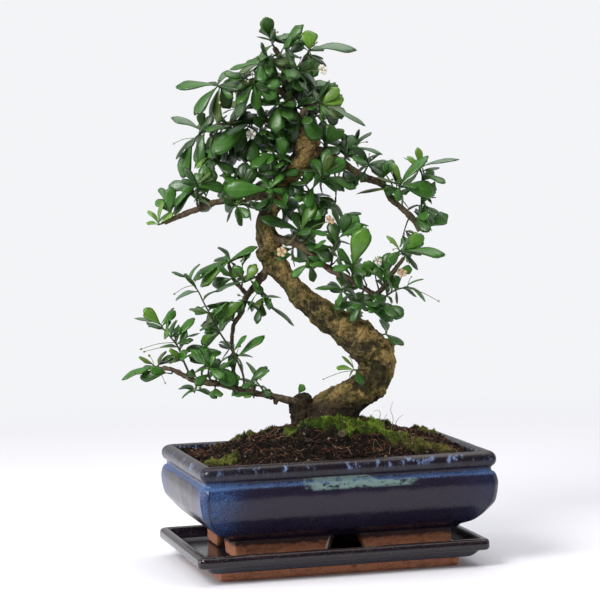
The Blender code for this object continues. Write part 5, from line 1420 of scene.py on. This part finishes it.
# A knob's stand-in as (height, radius) of its rings, in shares of its size
KNOB_RINGS = ((-0.8, 0.5), (-0.3, 0.95), (0.3, 0.95), (0.8, 0.5))
wood_lines = {name: [at(*row[:3]) for row in smooth_run(rows, 4)]
              for name, rows in {"trunk": TRUNK, **BRANCHES}.items()}
wood = {"trunk": Shape(*plain_tube(smooth_run(TRUNK, 10), 10, 0.05)),
        "stump": Shape(*plain_tube(smooth_run(STUMP, 12), 8, 0.06))}
for i, (across, up, back, size) in enumerate(KNOBS):
    rings = [(across, up + size * h, back, size * r) for h, r in KNOB_RINGS]
    wood[f"knob_{i}"] = Shape(*plain_tube(rings, 6))
for name, rows in BRANCHES.items():
    wood[name] = Shape(*plain_tube(smooth_run(rows, 16), 5, 0.03))
lines = {name: stem_line(points) for name, (points, _) in SPRAYS.items()}
stems = {}
for name, line in lines.items():
    rows = [seen(p, STEM_RADIUS[0]) for p in line[:-1]] + [seen(line[-1], STEM_RADIUS[1])]
    stems[name] = Shape(*plain_tube(rows, STEM_SIDES))
print("stems start on the wood:", len(lines))

# %% [markdown]
# A bloom stands on a thin stalk that leaves its stem, and its five petals face out and up. The blooms
# come before the leaves, so that the leaves make room for them.

# %% Blooms first
PETALS = 5
PETAL_LENGTH, PETAL_WIDTH, PETAL_LIFT = 4.8, 4.2, 1.2
HEART = ((-3.5, 0.8), (0, 1.5), (1.5, 0.8))
STALK_RADIUS = 0.6


def bloom_pose(line, share, place):
    """A bloom's heart, the way it faces, one sideways direction, and its stalk's points."""
    root, onward = along_stem(line, share)
    spot = at(*place)
    facing = (-BACK + UP * 0.5 + (spot - root).normalized()).normalized()
    behind = spot - facing * 3 * MM
    out = behind - root
    out = (out - onward * out.dot(onward)).normalized()
    start = root + out * (STEM_RADIUS[0] + STEM_GAP) * MM
    stalk = (start, start + out * 2 * MM, start.lerp(behind, 0.6) + UP * MM, behind)
    return spot, facing, facing.orthogonal().normalized(), stalk


def petals_of(spot, facing, side):
    """Where each petal starts and ends, turned evenly round the way the bloom faces."""
    ways = [Matrix.Rotation(math.tau * k / PETALS, 3, facing) @ side for k in range(PETALS)]
    return [(spot + way * 0.4 * MM, spot + (way * PETAL_LENGTH + facing * PETAL_LIFT) * MM) for way in ways]


placed = []
blooms = {name: bloom_pose(lines[stem], share, place) for name, (stem, share, place) in BLOOMS.items()}
for name, (spot, facing, side, stalk) in blooms.items():
    heart = [seen(spot + facing * out * MM, radius) for out, radius in HEART]
    placed.append(Shape(*plain_tube(heart, 5), name))
    placed.append(Shape(*plain_tube([seen(p, STALK_RADIUS) for p in stalk], 3), name))
    placed += [Shape(*plain_leaf(root, tip, facing, PETAL_WIDTH), name)
               for root, tip in petals_of(spot, facing, side)]
print("stand-ins of the blooms:", len(placed))

# %% Trying out each leaf


def is_clear(stem, shape):
    """Whether the shape is free: it cuts nothing, apart from leaf feet and wood at its own stem."""
    own = (other for other in placed if other.owner == stem and shape.near(other))
    return not (shape.crosses(wood.values())
                or shape.crosses(other for name, other in stems.items() if name != stem)
                or shape.crosses(other for other in placed if other.owner != stem)
                or any(shape.blade_tree().overlap(other.blade_tree()) for other in own))


def try_leaf(stem, root, tip_seen, width, tone):
    """The first of the allowed tilts and sizes at which a slightly fatter copy of the leaf is clear, as
    a list of one leaf (stem, tone, root, tip, normal, width), or an empty list.

    A leaf that looks shorter than leaves are points towards the viewer or away by that much.
    """
    flat = tip_seen - root
    flat -= BACK * flat.dot(BACK)
    likely = rng.uniform(*LEAF_LENGTHS) * (NEW_LEAF if tone == "new" else 1) * MM
    first = math.degrees(math.acos(min(1, flat.length / likely))) + rng.uniform(0, TILT_MORE)
    first *= rng.choice((-1, 1, 1))
    rise = ACROSS * -flat.dot(UP) + UP * flat.dot(ACROSS)
    rise = rise.normalized() if rise.z >= 0 else -rise.normalized()
    for shrink in SHRINKS:
        for turn in TURN_TRIES:
            tilt = math.radians(max(-TILT_MOST, min(TILT_MOST, first + turn)))
            reach = min(flat.length / math.cos(tilt), LEAF_MOST * MM) * shrink
            onward = flat.normalized() * math.cos(tilt) + BACK * math.sin(tilt)
            full = max(width, LEAF_SHAPE * reach / MM)
            roll = math.acos(min(1, width / full))
            normal = -BACK * math.cos(roll) + rise * math.sin(roll) + UP * 0.25
            tip = root + onward * reach
            if is_clear(stem, Shape(*plain_leaf(root, tip, normal, full * shrink, CLEARANCE / 2))):
                placed.append(Shape(*plain_leaf(root, tip, normal, full * shrink), stem))
                return [(stem, tone, root, tip, normal, full * shrink)]
    return []


def written(stem, line, rows):
    """Those of a stem's written leaves that find a free place."""
    found = []
    for share, across, up, width, tone in rows:
        found += try_leaf(stem, along_stem(line, share)[0], at(across, up, 0), width, tone)
    return found


leaves = []
for name, (_, rows) in SPRAYS.items():
    leaves += written(name, lines[name], rows)
for name, line in lines.items():
    root, _ = along_stem(line, rng.uniform(0.5, 1))
    angle = rng.uniform(0, math.tau)
    tip = root + (ACROSS * math.cos(angle) + UP * math.sin(angle)) * INNER_REACH * MM
    leaves += try_leaf(name, root, tip, INNER_WIDTH, "dark")
print("leaves on their solids:", len(leaves))

# %% [markdown]
# ## More leaves behind the written ones
# A real tree of this kind carries about a thousand leaves, in tufts of four to seven at each knuckle of
# a twig. The solids hold the large ones. Some more are written down here on short shoots of their own.
# The others are grown by the same rule of trying out: from the stems and from new twigs, in any
# direction, kept where they cross nothing and where the photograph shows foliage at all, which is
# close to a leaf that is written down and not in one of the gaps.

# %% Short shoots with written leaves
MORE = stems_of("""
-58 388 15, -61 382 2: 1 -93 361 16.6 mid, 0.7 -71 362 12, 0.5 -62 367 11 mid, 0.3 -83 370 11,
    0.9 -48 368 9;
-75 387 18, -76 380 22: 1 -75 350 12, 0.8 -67 354 12, 0.6 -84 350 12, 0.4 -59 352 11;
-12 384 5, -14 391 -9: 1 3 371 16 mid, 0.8 -24 368 12, 0.6 -31 378 11, 0.5 -6 396 10 mid;
4 361 8, 9 368 0: 1 14 384 11 mid, 0.8 18 369 12, 0.6 24 379 10 mid, 0.4 6 388 10, 0.3 20 358 9;
-30 391 10, -31 384 3: 1 -28 368 12, 0.7 -40 366 12 mid, 0.5 -20 378 10;
-10 372 5, 4 372 16: 1 14 372 13, 0.8 10 360 12, 0.6 16 382 12;
-66 322 -12, -64 333 -10: 1 -63 353 13, 0.8 -72 349 12 mid, 0.6 -54 349 12, 0.5 -61 343 10;
-98 317 -21, -96 328 -19: 1 -99 352 12 mid, 0.8 -90 347 11, 0.6 -107 345 11 mid;
-128 305 -24, -130 313 -25: 1 -136 333 10 mid, 0.8 -127 334 10 mid, 0.6 -141 322 9 bright,
    0.4 -134 318 9 mid;
-40 314 2, -31 311 -8: 1 -18 318 14 mid, 0.9 -22 305 13, 0.7 -30 294 12, 0.5 -26 322 12 mid;
50 234 -26, 52 228 -27: 1 63 215 11, 0.8 68 222 10 mid, 0.6 38 219 12;
54 242 -28, 59 245 -32: 1 67 245 12 mid, 0.7 70 252 10;
63 256 -29, 68 258 -32: 1 74 264 11 mid, 0.7 79 257 9 mid;
26 249 -21, 30 256 -25: 1 41 264 12 mid, 0.7 46 256 10 mid, 0.5 34 266 9;
57 330 17, 57 337 10: 1 58 351 11 mid, 0.8 67 352 10 mid, 0.6 50 347 10;
22 350 12, 24 343 6: 1 27 333 11, 0.8 34 329 11, 0.6 19 335 10;
-94 161 -14, -95 156 -17: 1 -98 147 9 mid, 0.7 -90 150 8 mid;
-10 376 5, -24 374 14: 1 -32 366 13, 0.8 -30 376 12, 0.6 -26 360 12;
-29 333 3, -22 334 -8: 1 -13 322 13, 0.8 -25 322 12 mid, 0.5 -10 331 10;
-21 281 -10, -16 296 -14, -8 303 -15: 1 2 308 12 mid, 0.9 -6 315 12, 0.8 -14 316 12 mid, 0.6 -22 308 11,
    0.5 4 299 11;
7 259 -17, 14 280 -20, 22 292 -21: 1 34 304 12 mid, 0.9 24 306 11, 0.8 38 297 11 mid, 0.6 10 300 10;
-12 394 -8, -10 392 -14: 1 0 388 13, 0.7 -6 384 11 mid;
-43 389 14, -43 392 4: 1 -52 398 12, 0.8 -55 386 12 mid, 0.6 -38 398 11;
-96 384 22, -99 378 16: 1 -108 358 13, 0.8 -104 350 12 mid, 0.6 -112 368 11;
-76 250 10, -78 252 2: 1 -90 262 11 mid, 0.8 -96 246 11, 0.6 -70 262 12 mid;
-75 214 16, -78 216 8: 1 -90 222 11 mid, 0.8 -92 206 11, 0.6 -80 230 11;
-131 174 -15, -138 172 -20: 1 -160 168 10, 0.8 -150 176 10 mid;
58 248 -28, 56 256 -34: 1 48 268 11 mid, 0.8 60 272 11, 0.6 40 260 10 mid;
83 299 20, 86 300 12: 1 98 302 10 mid, 0.8 96 288 10;
50 233 -26, 55 226 -32: 1 70 217 13, 0.7 62 212 12;
-62 152 -13, -66 160 -16: 1 -49 175 9, 0.6 -72 163 8;
-28 438 -2, -22 452 -6: 1 -14 462 10 mid, 0.8 -26 464 9 mid, 0.6 -10 455 10;
-60 421 -16, -62 426 -18: 1 -78 428 11 mid, 0.8 -58 433 10 mid, 0.6 -70 432 10;
-30 391 10, -36 393 -2: 1 -41 386 12, 0.7 -47 383 11;
-18 391 4, -26 388 14: 1 -42 383 12, 0.8 -46 386 11, 0.6 -36 380 10;
-56 388 16, -58 374 22: 1 -64 352 13, 0.8 -56 356 12, 0.6 -70 358 11;
-84 386 20, -90 374 26: 1 -106 354 13, 0.9 -91 350 12, 0.7 -98 350 12;
-38 322 2, -46 332 10: 1 -40 346 12, 0.7 -50 344 11;
-10 273 -13, -4 276 -20: 1 9 266 12, 0.8 4 282 10 mid;
38 241 -24, 36 252 -30: 1 43 266 11 mid, 0.7 32 262 10 mid;
22 350 12, 26 362 6: 1 33 374 12 mid, 0.7 24 370 11, 0.5 38 362 10 mid;
64 318 18, 70 332 10: 1 76 347 11 mid, 0.7 66 342 10;
-110 163 -14, -112 168 -18: 1 -104 180 9 mid, 0.7 -118 172 9;
-94 161 -14, -96 170 -18: 1 -104 188 9, 0.6 -92 182 9 mid;
""")
more_leaves, more_stems = [], []
for owner, (points, rows) in MORE.items():
    line = stem_line(points)
    more_stems.append(line)
    stems[owner] = Shape(*plain_tube([seen(p, STEM_RADIUS[1]) for p in line], STEM_SIDES))
    more_leaves += written(owner, line, rows)
stump_top = at(-22, 149, -4)
more_leaves.append(("stump", "mid", stump_top, stump_top + at(5, 8, -3), -BACK * 0.8 + UP * 0.6, 7.5))
print("leaves that only the picture asks for:", len(more_leaves), "of",
      sum(len(rows) for _, rows in MORE.values()))

# %% Growing the small leaves
TUFT_LENGTHS = (12, 25)
TUFT_SHAPE = (0.44, 0.58)
CROWN_FROM = 0.335
CROWN_LEAF = 1.2
FOLIAGE_NEAR = (10.5, 5.4)
CROWN_BOX = ((-92, 12), (335, 440))
# Places where the photograph shows no leaf between the written ones, as (across, up, radius)
BARE = [(-47, 465, 9), (-65, 445, 9), (-79, 433, 9), (-90, 421, 10), (-117, 386, 13), (-69, 309, 8),
        (-83, 309, 8), (-57, 307, 7), (-117, 244, 9), (-105, 254, 9), (-85, 251, 7), (-12, 249, 8),
        (4, 245, 11), (17, 238, 10), (-17, 272, 8), (51, 207, 14), (3, 327, 9), (-5, 331, 6), (64, 281, 9),
        (57, 289, 7), (70, 237, 10), (-86, 191, 8), (-119, 158, 8), (-103, 152, 9), (24, 171, 15),
        (-143, 305, 12), (-138, 312, 8), (-150, 182, 7), (-65, 193, 10), (-60, 167, 9), (-52, 160, 9),
        (-57, 149, 6), (80, 236, 7), (34, 384, 8), (13, 452, 9), (-77, 278, 6), (-118, 257, 8),
        (-90, 237, 6), (-104, 231, 6), (-56, 216, 8), (-148, 209, 6), (-141, 190, 6), (-160, 180, 6),
        (-83, 194, 7), (-72, 174, 8), (-61, 179, 8), (-117, 155, 8), (-76, 307, 6), (-13, 273, 9),
        (20, 278, 7), (17, 230, 9), (27, 240, 7), (24, 335, 7), (85, 340, 6), (65, 349, 7), (46, 368, 8),
        (-96, 408, 8), (-93, 400, 7), (-27, 277, 6), (-49, 455, 9), (-13, 449, 8), (-112, 369, 7)]
STEM_TUFT_STEP = 8
TUFT_TRIES = (14, 7)
chance = np.random.default_rng(5)


def seen_flat(points):
    """Where world points are seen, as (across, up) in millimetres."""
    points = np.asarray(points, float)
    return np.stack([points @ np.array(ACROSS), points[..., 2]], -1) / MM


marks = np.concatenate([seen_flat([np.array(root) + (np.array(tip) - np.array(root)) * t
                                   for _, _, root, tip, _, _ in leaves]) for t in (0.3, 0.6, 0.95)])


def in_foliage(point):
    """Whether the photograph shows leaves there: a written leaf is seen close by, and no gap."""
    here = seen_flat(point)
    if any(math.hypot(across - here[0], up - here[1]) < radius for across, up, radius in BARE):
        return False
    in_crown = all(low < number < high for number, (low, high) in zip(here, CROWN_BOX))
    return np.hypot(*(marks - here).T).min() < FOLIAGE_NEAR[0 if in_crown else 1]


def random_way():
    """A direction by chance, of any length."""
    return Vector(chance.normal(size=3))


def length_of(line):
    """A line's length in millimetres."""
    return sum((b - a).length for a, b in zip(line, line[1:])) / MM


def grow_tuft(owner, spot, onward, tries, away):
    """Leaves round one knuckle: random ways out of it, each kept if the leaf is free and in the foliage."""
    grown = []
    outwards = Vector((spot.x, spot.y, 0)) - at(-20, 0, 5)
    outwards = (outwards / 0.05 if outwards.length < 0.05 else outwards.normalized()) - BACK * 0.35
    for _ in range(tries):
        normal = (UP * 0.6 + outwards * 0.8 + random_way() * 0.4).normalized()
        way_out = random_way() + onward * 0.35 + UP * 0.2 + away * 0.35
        way_out = (way_out - normal * way_out.dot(normal) * 0.7).normalized()
        length = chance.uniform(*TUFT_LENGTHS) * (CROWN_LEAF if spot.z > CROWN_FROM else 1)
        tip = spot + way_out * length * MM
        width = length * chance.uniform(*TUFT_SHAPE)
        if abs(normal.dot(way_out)) > 0.9 or not in_foliage(tip) or not in_foliage(spot.lerp(tip, 0.6)):
            continue
        if is_clear(owner, Shape(*plain_leaf(spot, tip, normal, width, 0.1))):
            placed.append(Shape(*plain_leaf(spot, tip, normal, width), owner))
            tone = chance.choice(["dark", "mid", "mid", "mid", "bright", "olive"])
            grown.append((owner, str(tone), spot, tip, normal, width))
    return grown


small_leaves = []
for name, line in lines.items():
    for share in np.linspace(0.25, 1, max(2, round(length_of(line) / STEM_TUFT_STEP))):
        spot, onward = along_stem(line, share)
        tries = TUFT_TRIES[0 if spot.z > CROWN_FROM else 1]
        small_leaves += grow_tuft(name, spot, onward, tries, BACK * 0.5)
print("small leaves on the stems:", len(small_leaves))

# %% New twigs and their tufts
TWIG_STEP = 7.5
TWIG_LENGTHS = (9, 26)
TRUNK_TWIG_MORE, TRUNK_TWIG_FROM = 8, 0.3
TWIG_BACK_MOST = 0.088
# Tufts on a twig as (how far along, tries), and how many leaves make the twig worth keeping
TWIG_TUFTS = ((0.5, 7), (0.75, 8), (0.98, 12))
FEWEST = 2

twigs, twig_leaves = [], []
for name, run in wood_lines.items():
    if name == "trunk":
        run = [p for p in run if p.z > TRUNK_TWIG_FROM]
    for k in range(round(length_of(run) / TWIG_STEP)):
        share = chance.uniform(0.12, 1)
        i = min(int(share * (len(run) - 1)), len(run) - 2)
        foot = run[i].lerp(run[i + 1], chance.random())
        onward = (run[i + 1] - run[i]).normalized()
        way_out = random_way()
        way_out -= onward * way_out.dot(onward)
        way_out = (way_out.normalized() + onward * 0.5 + BACK * 0.5 + UP * 0.2).normalized()
        reach = chance.uniform(*TWIG_LENGTHS) + (TRUNK_TWIG_MORE if name == "trunk" else 0)
        tip = foot + (way_out * reach + random_way() * 0.18 * reach) * MM
        if not in_foliage(tip) or abs(tip.y) > TWIG_BACK_MOST:
            continue
        owner = f"twig_{len(twigs)}"
        line = [foot, foot + (way_out * reach * 0.55) * MM, tip]
        plain = Shape(*plain_tube([seen(p, 0.7) for p in line[1:]], 3))
        if plain.crosses([*wood.values(), *stems.values(), *placed]):
            continue
        found = []
        for share, tries in TWIG_TUFTS:
            spot, onward = along_stem(line, share)
            found += grow_tuft(owner, spot, onward, tries, way_out)
        if len(found) >= FEWEST:
            twigs.append(line)
            stems[owner] = plain
            twig_leaves += found
print(len(twigs), "new twigs with", len(twig_leaves), "leaves")

# %% [markdown]
# ## The fine leaf
# A leaf is narrow at its foot, widest three quarters along, and blunt, with three shallow teeth. It is
# glossy, arched along its length, and its midrib lies in a groove. One grid does all of that at once,
# for every leaf together: the row is how far along, the column how far out.

# %% Leaf surfaces
LEAF_STATIONS = ([0, 0.1, 0.25, 0.45, 0.62, 0.78, 0.9, 1], [0.07, 0.15, 0.4, 0.76, 0.94, 1, 0.84, 0.42])
BLADE = 0.55
LOWER_BRIGHTER, LOWER_BELOW = 0.15, 0.345
GREENS_END = 0.6
# The pale tone is a painted sheen: the grey-green of glossy leaves that mirror the bright sky
TONES = {"dark": 0.05, "mid": 0.3, "bright": 0.41, "new": 0.7, "olive": 0.85, "pale": 1.0}


def blades(found, rows, columns, chance):
    """Leaf surfaces as copies x points x 3, with their fields and their own UV.

    along = s + s^6 * (teeth - 1); out = v * half * width(s); height = arch 4s(1-s), less a droop that
    grows with v^2 and a groove e^(-(v/0.17)^2) at the midrib, plus waves at the edge and a curl s^2.
    The lower side lies a blade's thickness under the upper one and shares its outline.
    """
    count = len(found)
    root, tip, normal = (np.array([np.array(leaf[k]) for leaf in found]) for k in (2, 3, 4))
    half = np.array([leaf[5] for leaf in found])[:, None, None] * MM / 2
    length = np.linalg.norm(tip - root, axis=1)[:, None, None]
    onward = (tip - root) / length[:, 0]
    normal = normal - onward * (normal * onward).sum(1, keepdims=True)
    normal /= np.linalg.norm(normal, axis=1, keepdims=True)
    side = np.cross(onward, normal)
    s = np.linspace(0, 1, rows)[None, :, None]
    v = np.linspace(-1, 1, columns)[None, None]
    blunt = chance.uniform(-0.14, 0.12, (count, 1, 1))
    wide = np.interp(s, *LEAF_STATIONS) + blunt * s ** 5
    teeth = 1 - 0.075 * v ** 2 + 0.02 * np.cos(3 * math.pi * v)
    along = s + s ** 6 * (teeth - 1)
    phase = chance.uniform(0, math.tau, (count, 1, 1))
    wave = 0.05 * half * np.sin(math.tau * 1.6 * s + phase) * np.abs(v) ** 2
    curl = chance.normal(0, 0.035, (count, 1, 1)) * length * s ** 2
    arch = LEAF_ARCH * length * 4 * along * (1 - along)
    skew = chance.normal(0, 0.05, (count, 1, 1)) * length * s * (1 - s)
    twist = chance.normal(0, 0.14, (count, 1, 1)) * s
    out = v * half * wide
    groove = 0.16 * MM * np.exp(-(v / 0.17) ** 2) * wide
    lift = arch + wave + curl - EDGE_DROOP * half * wide * v ** 2 - groove
    out, lift = out * np.cos(twist) + skew, lift + out * np.sin(twist)
    thick = BLADE / 2 * MM * (1 - v ** 2) * np.minimum(1, 6 * s * (1 - s) + 0.25)

    def spots(height):
        parts = (along * length, out, height)
        return root[:, None, None] + sum(
            np.broadcast_to(part, (count, rows, columns))[..., None] * axis[:, None, None]
            for part, axis in zip(parts, (onward, side, normal)))

    upper = spots(lift + thick)
    lower = spots(lift - thick)[:, 1:-1, 1:-1]
    points = np.concatenate([upper.reshape(count, -1, 3), lower.reshape(count, -1, 3)], 1)
    uv = np.stack(np.broadcast_arrays(s[0], (v[0] + 1) / 2), -1)
    uv = np.concatenate([uv.reshape(-1, 2), uv[1:-1, 1:-1].reshape(-1, 2)])
    tones = np.array([TONES[leaf[1]] for leaf in found]) + chance.uniform(-0.04, 0.04, count)
    low_down = np.clip((LOWER_BELOW - root[:, 2]) / 0.05, 0, 1)
    tones = np.where(tones < GREENS_END, tones + LOWER_BRIGHTER * low_down, tones)
    fields = {"tone": np.repeat(tones, points.shape[1]),
              "shade": np.repeat(chance.random(count), points.shape[1]),
              "upper": np.tile([1.0] * (rows * columns) + [0.0] * ((rows - 2) * (columns - 2)), count)}
    faces = repeated(two_sided(rows, columns), count, points.shape[1])
    return points.reshape(-1, 3), faces, fields, np.tile(uv, (count, 1))


print("leaf tones:", *TONES)

# %% [markdown]
# The upper side is a deep green with a waxy gloss, paler along the midrib and the few side veins, and
# the underside is lighter and dull. Young leaves are yellow-green, and leaves of the pale tone are a
# painted sheen: the grey-green of gloss that mirrors the bright sky. Tone, shade and side come as
# numbers on the points, and the veins follow the leaf's own UV.

# %% Leaf paint
paint = Paint("leaf_waxy", IOR=1.45, Specular_IOR_Level=0.62)
upper, cloud = paint.field("upper"), paint.noise(0.006, 3)
s, v, _ = paint.axes(paint.node("ShaderNodeUVMap", {"uv_map": "UVMap"}))
out = abs(v - 0.5) * 2
midrib = out.step(0.075, 0.015) * s.step(0.95, 0.6)
slant = (s - out * 0.22) * 7.5
vein = abs(slant.math("FRACT", slant) - 0.5).step(0.44, 0.5) * out.step(0.95, 0.5)
colour = paint.ramp(paint.field("tone") + (paint.field("shade") - 0.5) * 0.05,
                    (0.0, (0.015, 0.042, 0.008)), (0.12, (0.020, 0.064, 0.009)),
                    (0.3, (0.036, 0.122, 0.012)), (0.5, (0.048, 0.168, 0.015)),
                    (0.7, (0.13, 0.27, 0.024)), (0.85, (0.065, 0.10, 0.018)), (1.0, (0.085, 0.155, 0.075)))
colour = paint.coats(
    colour,
    (cloud.step(0.35, 0.7, 0.0, 0.3), (0.014, 0.055, 0.010)),
    (midrib * 0.32 + vein * 0.05, (0.14, 0.26, 0.05)),
    (out.step(0.9, 1.0) * 0.3, (0.09, 0.16, 0.04)))
colour = paint.mix(upper, paint.mix(0.55, colour, (0.09, 0.17, 0.055)), colour)
bumps = paint.bump(cloud * 0.3 - vein * 0.15 - midrib * 0.4, 0.0004, 0.6)
leaf_paint = paint.wear(Base_Color=colour, Roughness=0.27 + (1 - upper) * 0.35 + 0.12 * cloud, Normal=bumps)
print("leaf paint has", len(paint.tree.nodes), "nodes")

# %% Written leaves on their stems
LARGE_GRID, SMALL_GRID, PETAL_GRID = (9, 7), (6, 5), (7, 5)

chance = np.random.default_rng(8)
leafy = []
for name in SPRAYS:
    shapes = [blades(found, *grid, chance) for found, grid in (
        ([leaf for leaf in leaves if leaf[0] == name], LARGE_GRID),
        ([leaf for leaf in small_leaves if leaf[0] == name], SMALL_GRID)) if found]
    points, faces, fields, uv = joined(shapes)
    leafy.append(piece("leafy_" + name, points, faces, leaf_paint, ["leaves_" + name], fields, uv))
points, faces, fields, uv = joined([blades(more_leaves, *LARGE_GRID, chance),
                                    blades(twig_leaves, *SMALL_GRID, chance)])
leafy.append(piece("leafy_twigs", points, faces, leaf_paint, fields=fields, uv=uv))
print(len(leaves), "large and", len(small_leaves) + len(twig_leaves), "small leaves:",
      sum(map(faces_of, leafy)), "triangles")

# %% [markdown]
# ## Stems, twigs and buds
# The leafy stems are wiry, olive at their tips and brown where they leave the wood. They start
# a little inside the bark, so that no gap shows. Buds are small drops in green sepals on hair-thin
# stalks.

# %% Stems and twigs


def wire(line, radii, step=1.6, around=7):
    """A thin tube through world points, its radius running evenly from the first to the second."""
    run = smooth_run([np.array(p) / MM for p in line], step)
    radius = np.linspace(radii[0], radii[1], len(run))[:, None, None]
    skin = run[:, None] + directions(run, around) * radius
    age = np.repeat(np.linspace(0, 1, len(run)), around)
    return with_poles(skin) * MM, capped_faces(len(run), around), np.concatenate([age, [0, 1]])


# Wisps of dry grass in the soil on both sides of the trunk, as rows of (across, up, back)
WISPS = [[(46, 122, -14), (49, 130, -15), (47, 134, -16), (43, 133, -16)],
         [(58, 116, -16), (60, 126, -17), (58, 134, -18), (60, 141, -18)],
         [(60, 116, -14), (64, 125, -14), (69, 129, -14)], [(52, 118, -18), (52, 126, -19), (55, 131, -20)],
         [(-62, 104, -20), (-66, 112, -22), (-64, 117, -23)],
         [(-48, 108, -24), (-51, 117, -26), (-56, 121, -27)]]
STEM_INSIDE = 2.2

paint = Paint("stem_green")
fine = paint.noise(0.002, 3, 0.6)
colour = paint.mix(paint.field("age"), (0.055, 0.038, 0.02), (0.055, 0.10, 0.022))
colour = paint.mix(fine * 0.5, colour, (0.03, 0.026, 0.012))
stem_paint = paint.wear(Base_Color=colour, Roughness=0.55 + 0.2 * fine, Normal=paint.bump(fine, 0.0002))
wires = [wire([line[0] - (line[1] - line[0]).normalized() * STEM_INSIDE * MM, *line], (1.05, 0.6))
         for line in lines.values()]
points, faces, age = joined(wires)
leaf_stems = piece("leaf_stems", points, faces, stem_paint, ["leaves_" + name for name in SPRAYS],
                   {"age": age})
points, faces, age = joined([wire(line, (0.9, 0.4)) for line in twigs + more_stems])
small_twigs = piece("small_twigs", points, faces, stem_paint, fields={"age": age})
points, faces, _ = joined([wire([at(*place) for place in row], (0.35, 0.15), 1.2, 4) for row in WISPS])
wisps = piece("wisps", points, faces, rootlet_paint, ["soil"])
print("stems, twigs and wisps have", sum(map(faces_of, (leaf_stems, small_twigs, wisps))), "triangles")

# %% Blooms and buds
FADED = {"bloom_trunk", "bloom_right", "bloom_middle"}
GREEN, STALK_GREEN, SEPAL = 0.08, 0.1, 0.15
PETAL_WHITE, STAMEN, PETAL_FADED, HEART_YELLOW = 0.5, 0.6, 0.72, 1.0


def drop(spot, facing, size, rings=7, around=9):
    """A bud: a ball drawn out to a point, radius sin(pi t)^0.8 * (1 - t/3), along the way it faces."""
    t = np.linspace(0.02, 0.98, rings)[:, None]
    middle = np.array(spot) / MM + np.array(facing) * (t - 0.4) * size * 2.2
    radius = size * np.sin(math.pi * t[..., None]) ** 0.8 * (1 - t[..., None] / 3)
    skin = middle[:, None] + directions(middle, around) * radius
    return with_poles(skin) * MM, capped_faces(rings, around)


def part(shape, kind):
    """A shape with one number on all its points, from 0 green over 0.5 white and 0.75 faded to 1 yellow."""
    return shape[0], shape[1], np.full(len(shape[0]), kind)


paint = Paint("flower_white", Specular_IOR_Level=0.3)
cloud = paint.noise(0.0015, 3)
colour = paint.ramp(paint.field("kind"), (0, (0.06, 0.12, 0.03)), (0.25, (0.16, 0.22, 0.07)),
                    (0.5, (0.80, 0.78, 0.72)), (0.75, (0.62, 0.38, 0.20)), (1, (0.55, 0.42, 0.08)))
colour = paint.mix(cloud * 0.35, colour, (0.35, 0.30, 0.18))
flower_paint = paint.wear(Base_Color=colour, Roughness=0.55 + 0.2 * cloud, Normal=paint.bump(cloud, 0.0002))
for name, (spot, facing, side, stalk) in blooms.items():
    petals = [(name, "mid", root, tip, facing, PETAL_WIDTH) for root, tip in petals_of(spot, facing, side)]
    shapes = [part(blades(petals, *PETAL_GRID, chance), PETAL_FADED if name in FADED else PETAL_WHITE),
              part(wire(stalk, (0.4, 0.45), 1), STALK_GREEN),
              part(drop(spot - facing * 1.2 * MM, facing, 1.1), SEPAL)]
    for k in range(PETALS):
        way_out = (Matrix.Rotation(math.tau * (k + 0.5) / PETALS, 3, facing) @ side) * 0.5 + facing
        shapes.append(part(wire([spot, spot + way_out * 2.6 * MM], (0.16, 0.16), 1, 4), STAMEN))
        shapes.append(part(drop(spot + way_out * 2.8 * MM, facing, 0.4, 5, 5), HEART_YELLOW))
    points, faces, kinds = joined(shapes)
    piece(name + "_flower", points, faces, flower_paint, [name], {"kind": kinds})

spots = [(along_stem(lines[stem], share)[0], at(*place)) for stem, share, place in BUDS]
for line in lines.values():
    root, _ = along_stem(line, 0.95)
    for _ in range(chance.integers(0, 3)):
        way_out = Vector((*chance.normal(size=2), abs(chance.normal()) + 0.4)).normalized()
        spots.append((root, root + (way_out - BACK * 0.3).normalized() * chance.uniform(7, 13) * MM))
shapes = []
for root, spot in spots:
    middle = root.lerp(spot, 0.5) + UP * 1.5 * MM
    shapes.append(part(wire([root, middle, spot], (0.34, 0.26), 1.4, 5), GREEN))
    bud = drop(spot, (spot - middle).normalized(), chance.uniform(0.9, 1.5))
    shapes.append(part(bud, chance.uniform(0.1, 0.42)))
points, faces, kinds = joined(shapes)
piece("buds", points, faces, flower_paint, fields={"kind": kinds})
print("blooms:", len(blooms), "buds:", len(spots))

# %% [markdown]
# ## The drain mesh
# The plastic mesh under the soil keeps its solid: its shape is already right, and it only needs the
# matt black of moulded plastic.

# %% Drain mesh finish
paint = Paint("mesh_black_plastic")
cloud = paint.noise(0.002, 3)
colour = paint.mix(cloud, (0.012, 0.012, 0.012), (0.035, 0.035, 0.035))
plastic = paint.wear(Base_Color=colour, Roughness=0.5 + 0.2 * cloud, Normal=paint.bump(cloud, 0.0001))
mesh_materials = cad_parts["drain_mesh"].data.materials
mesh_materials.clear()
mesh_materials.append(plastic)
print("drain mesh painted")

# %% [markdown]
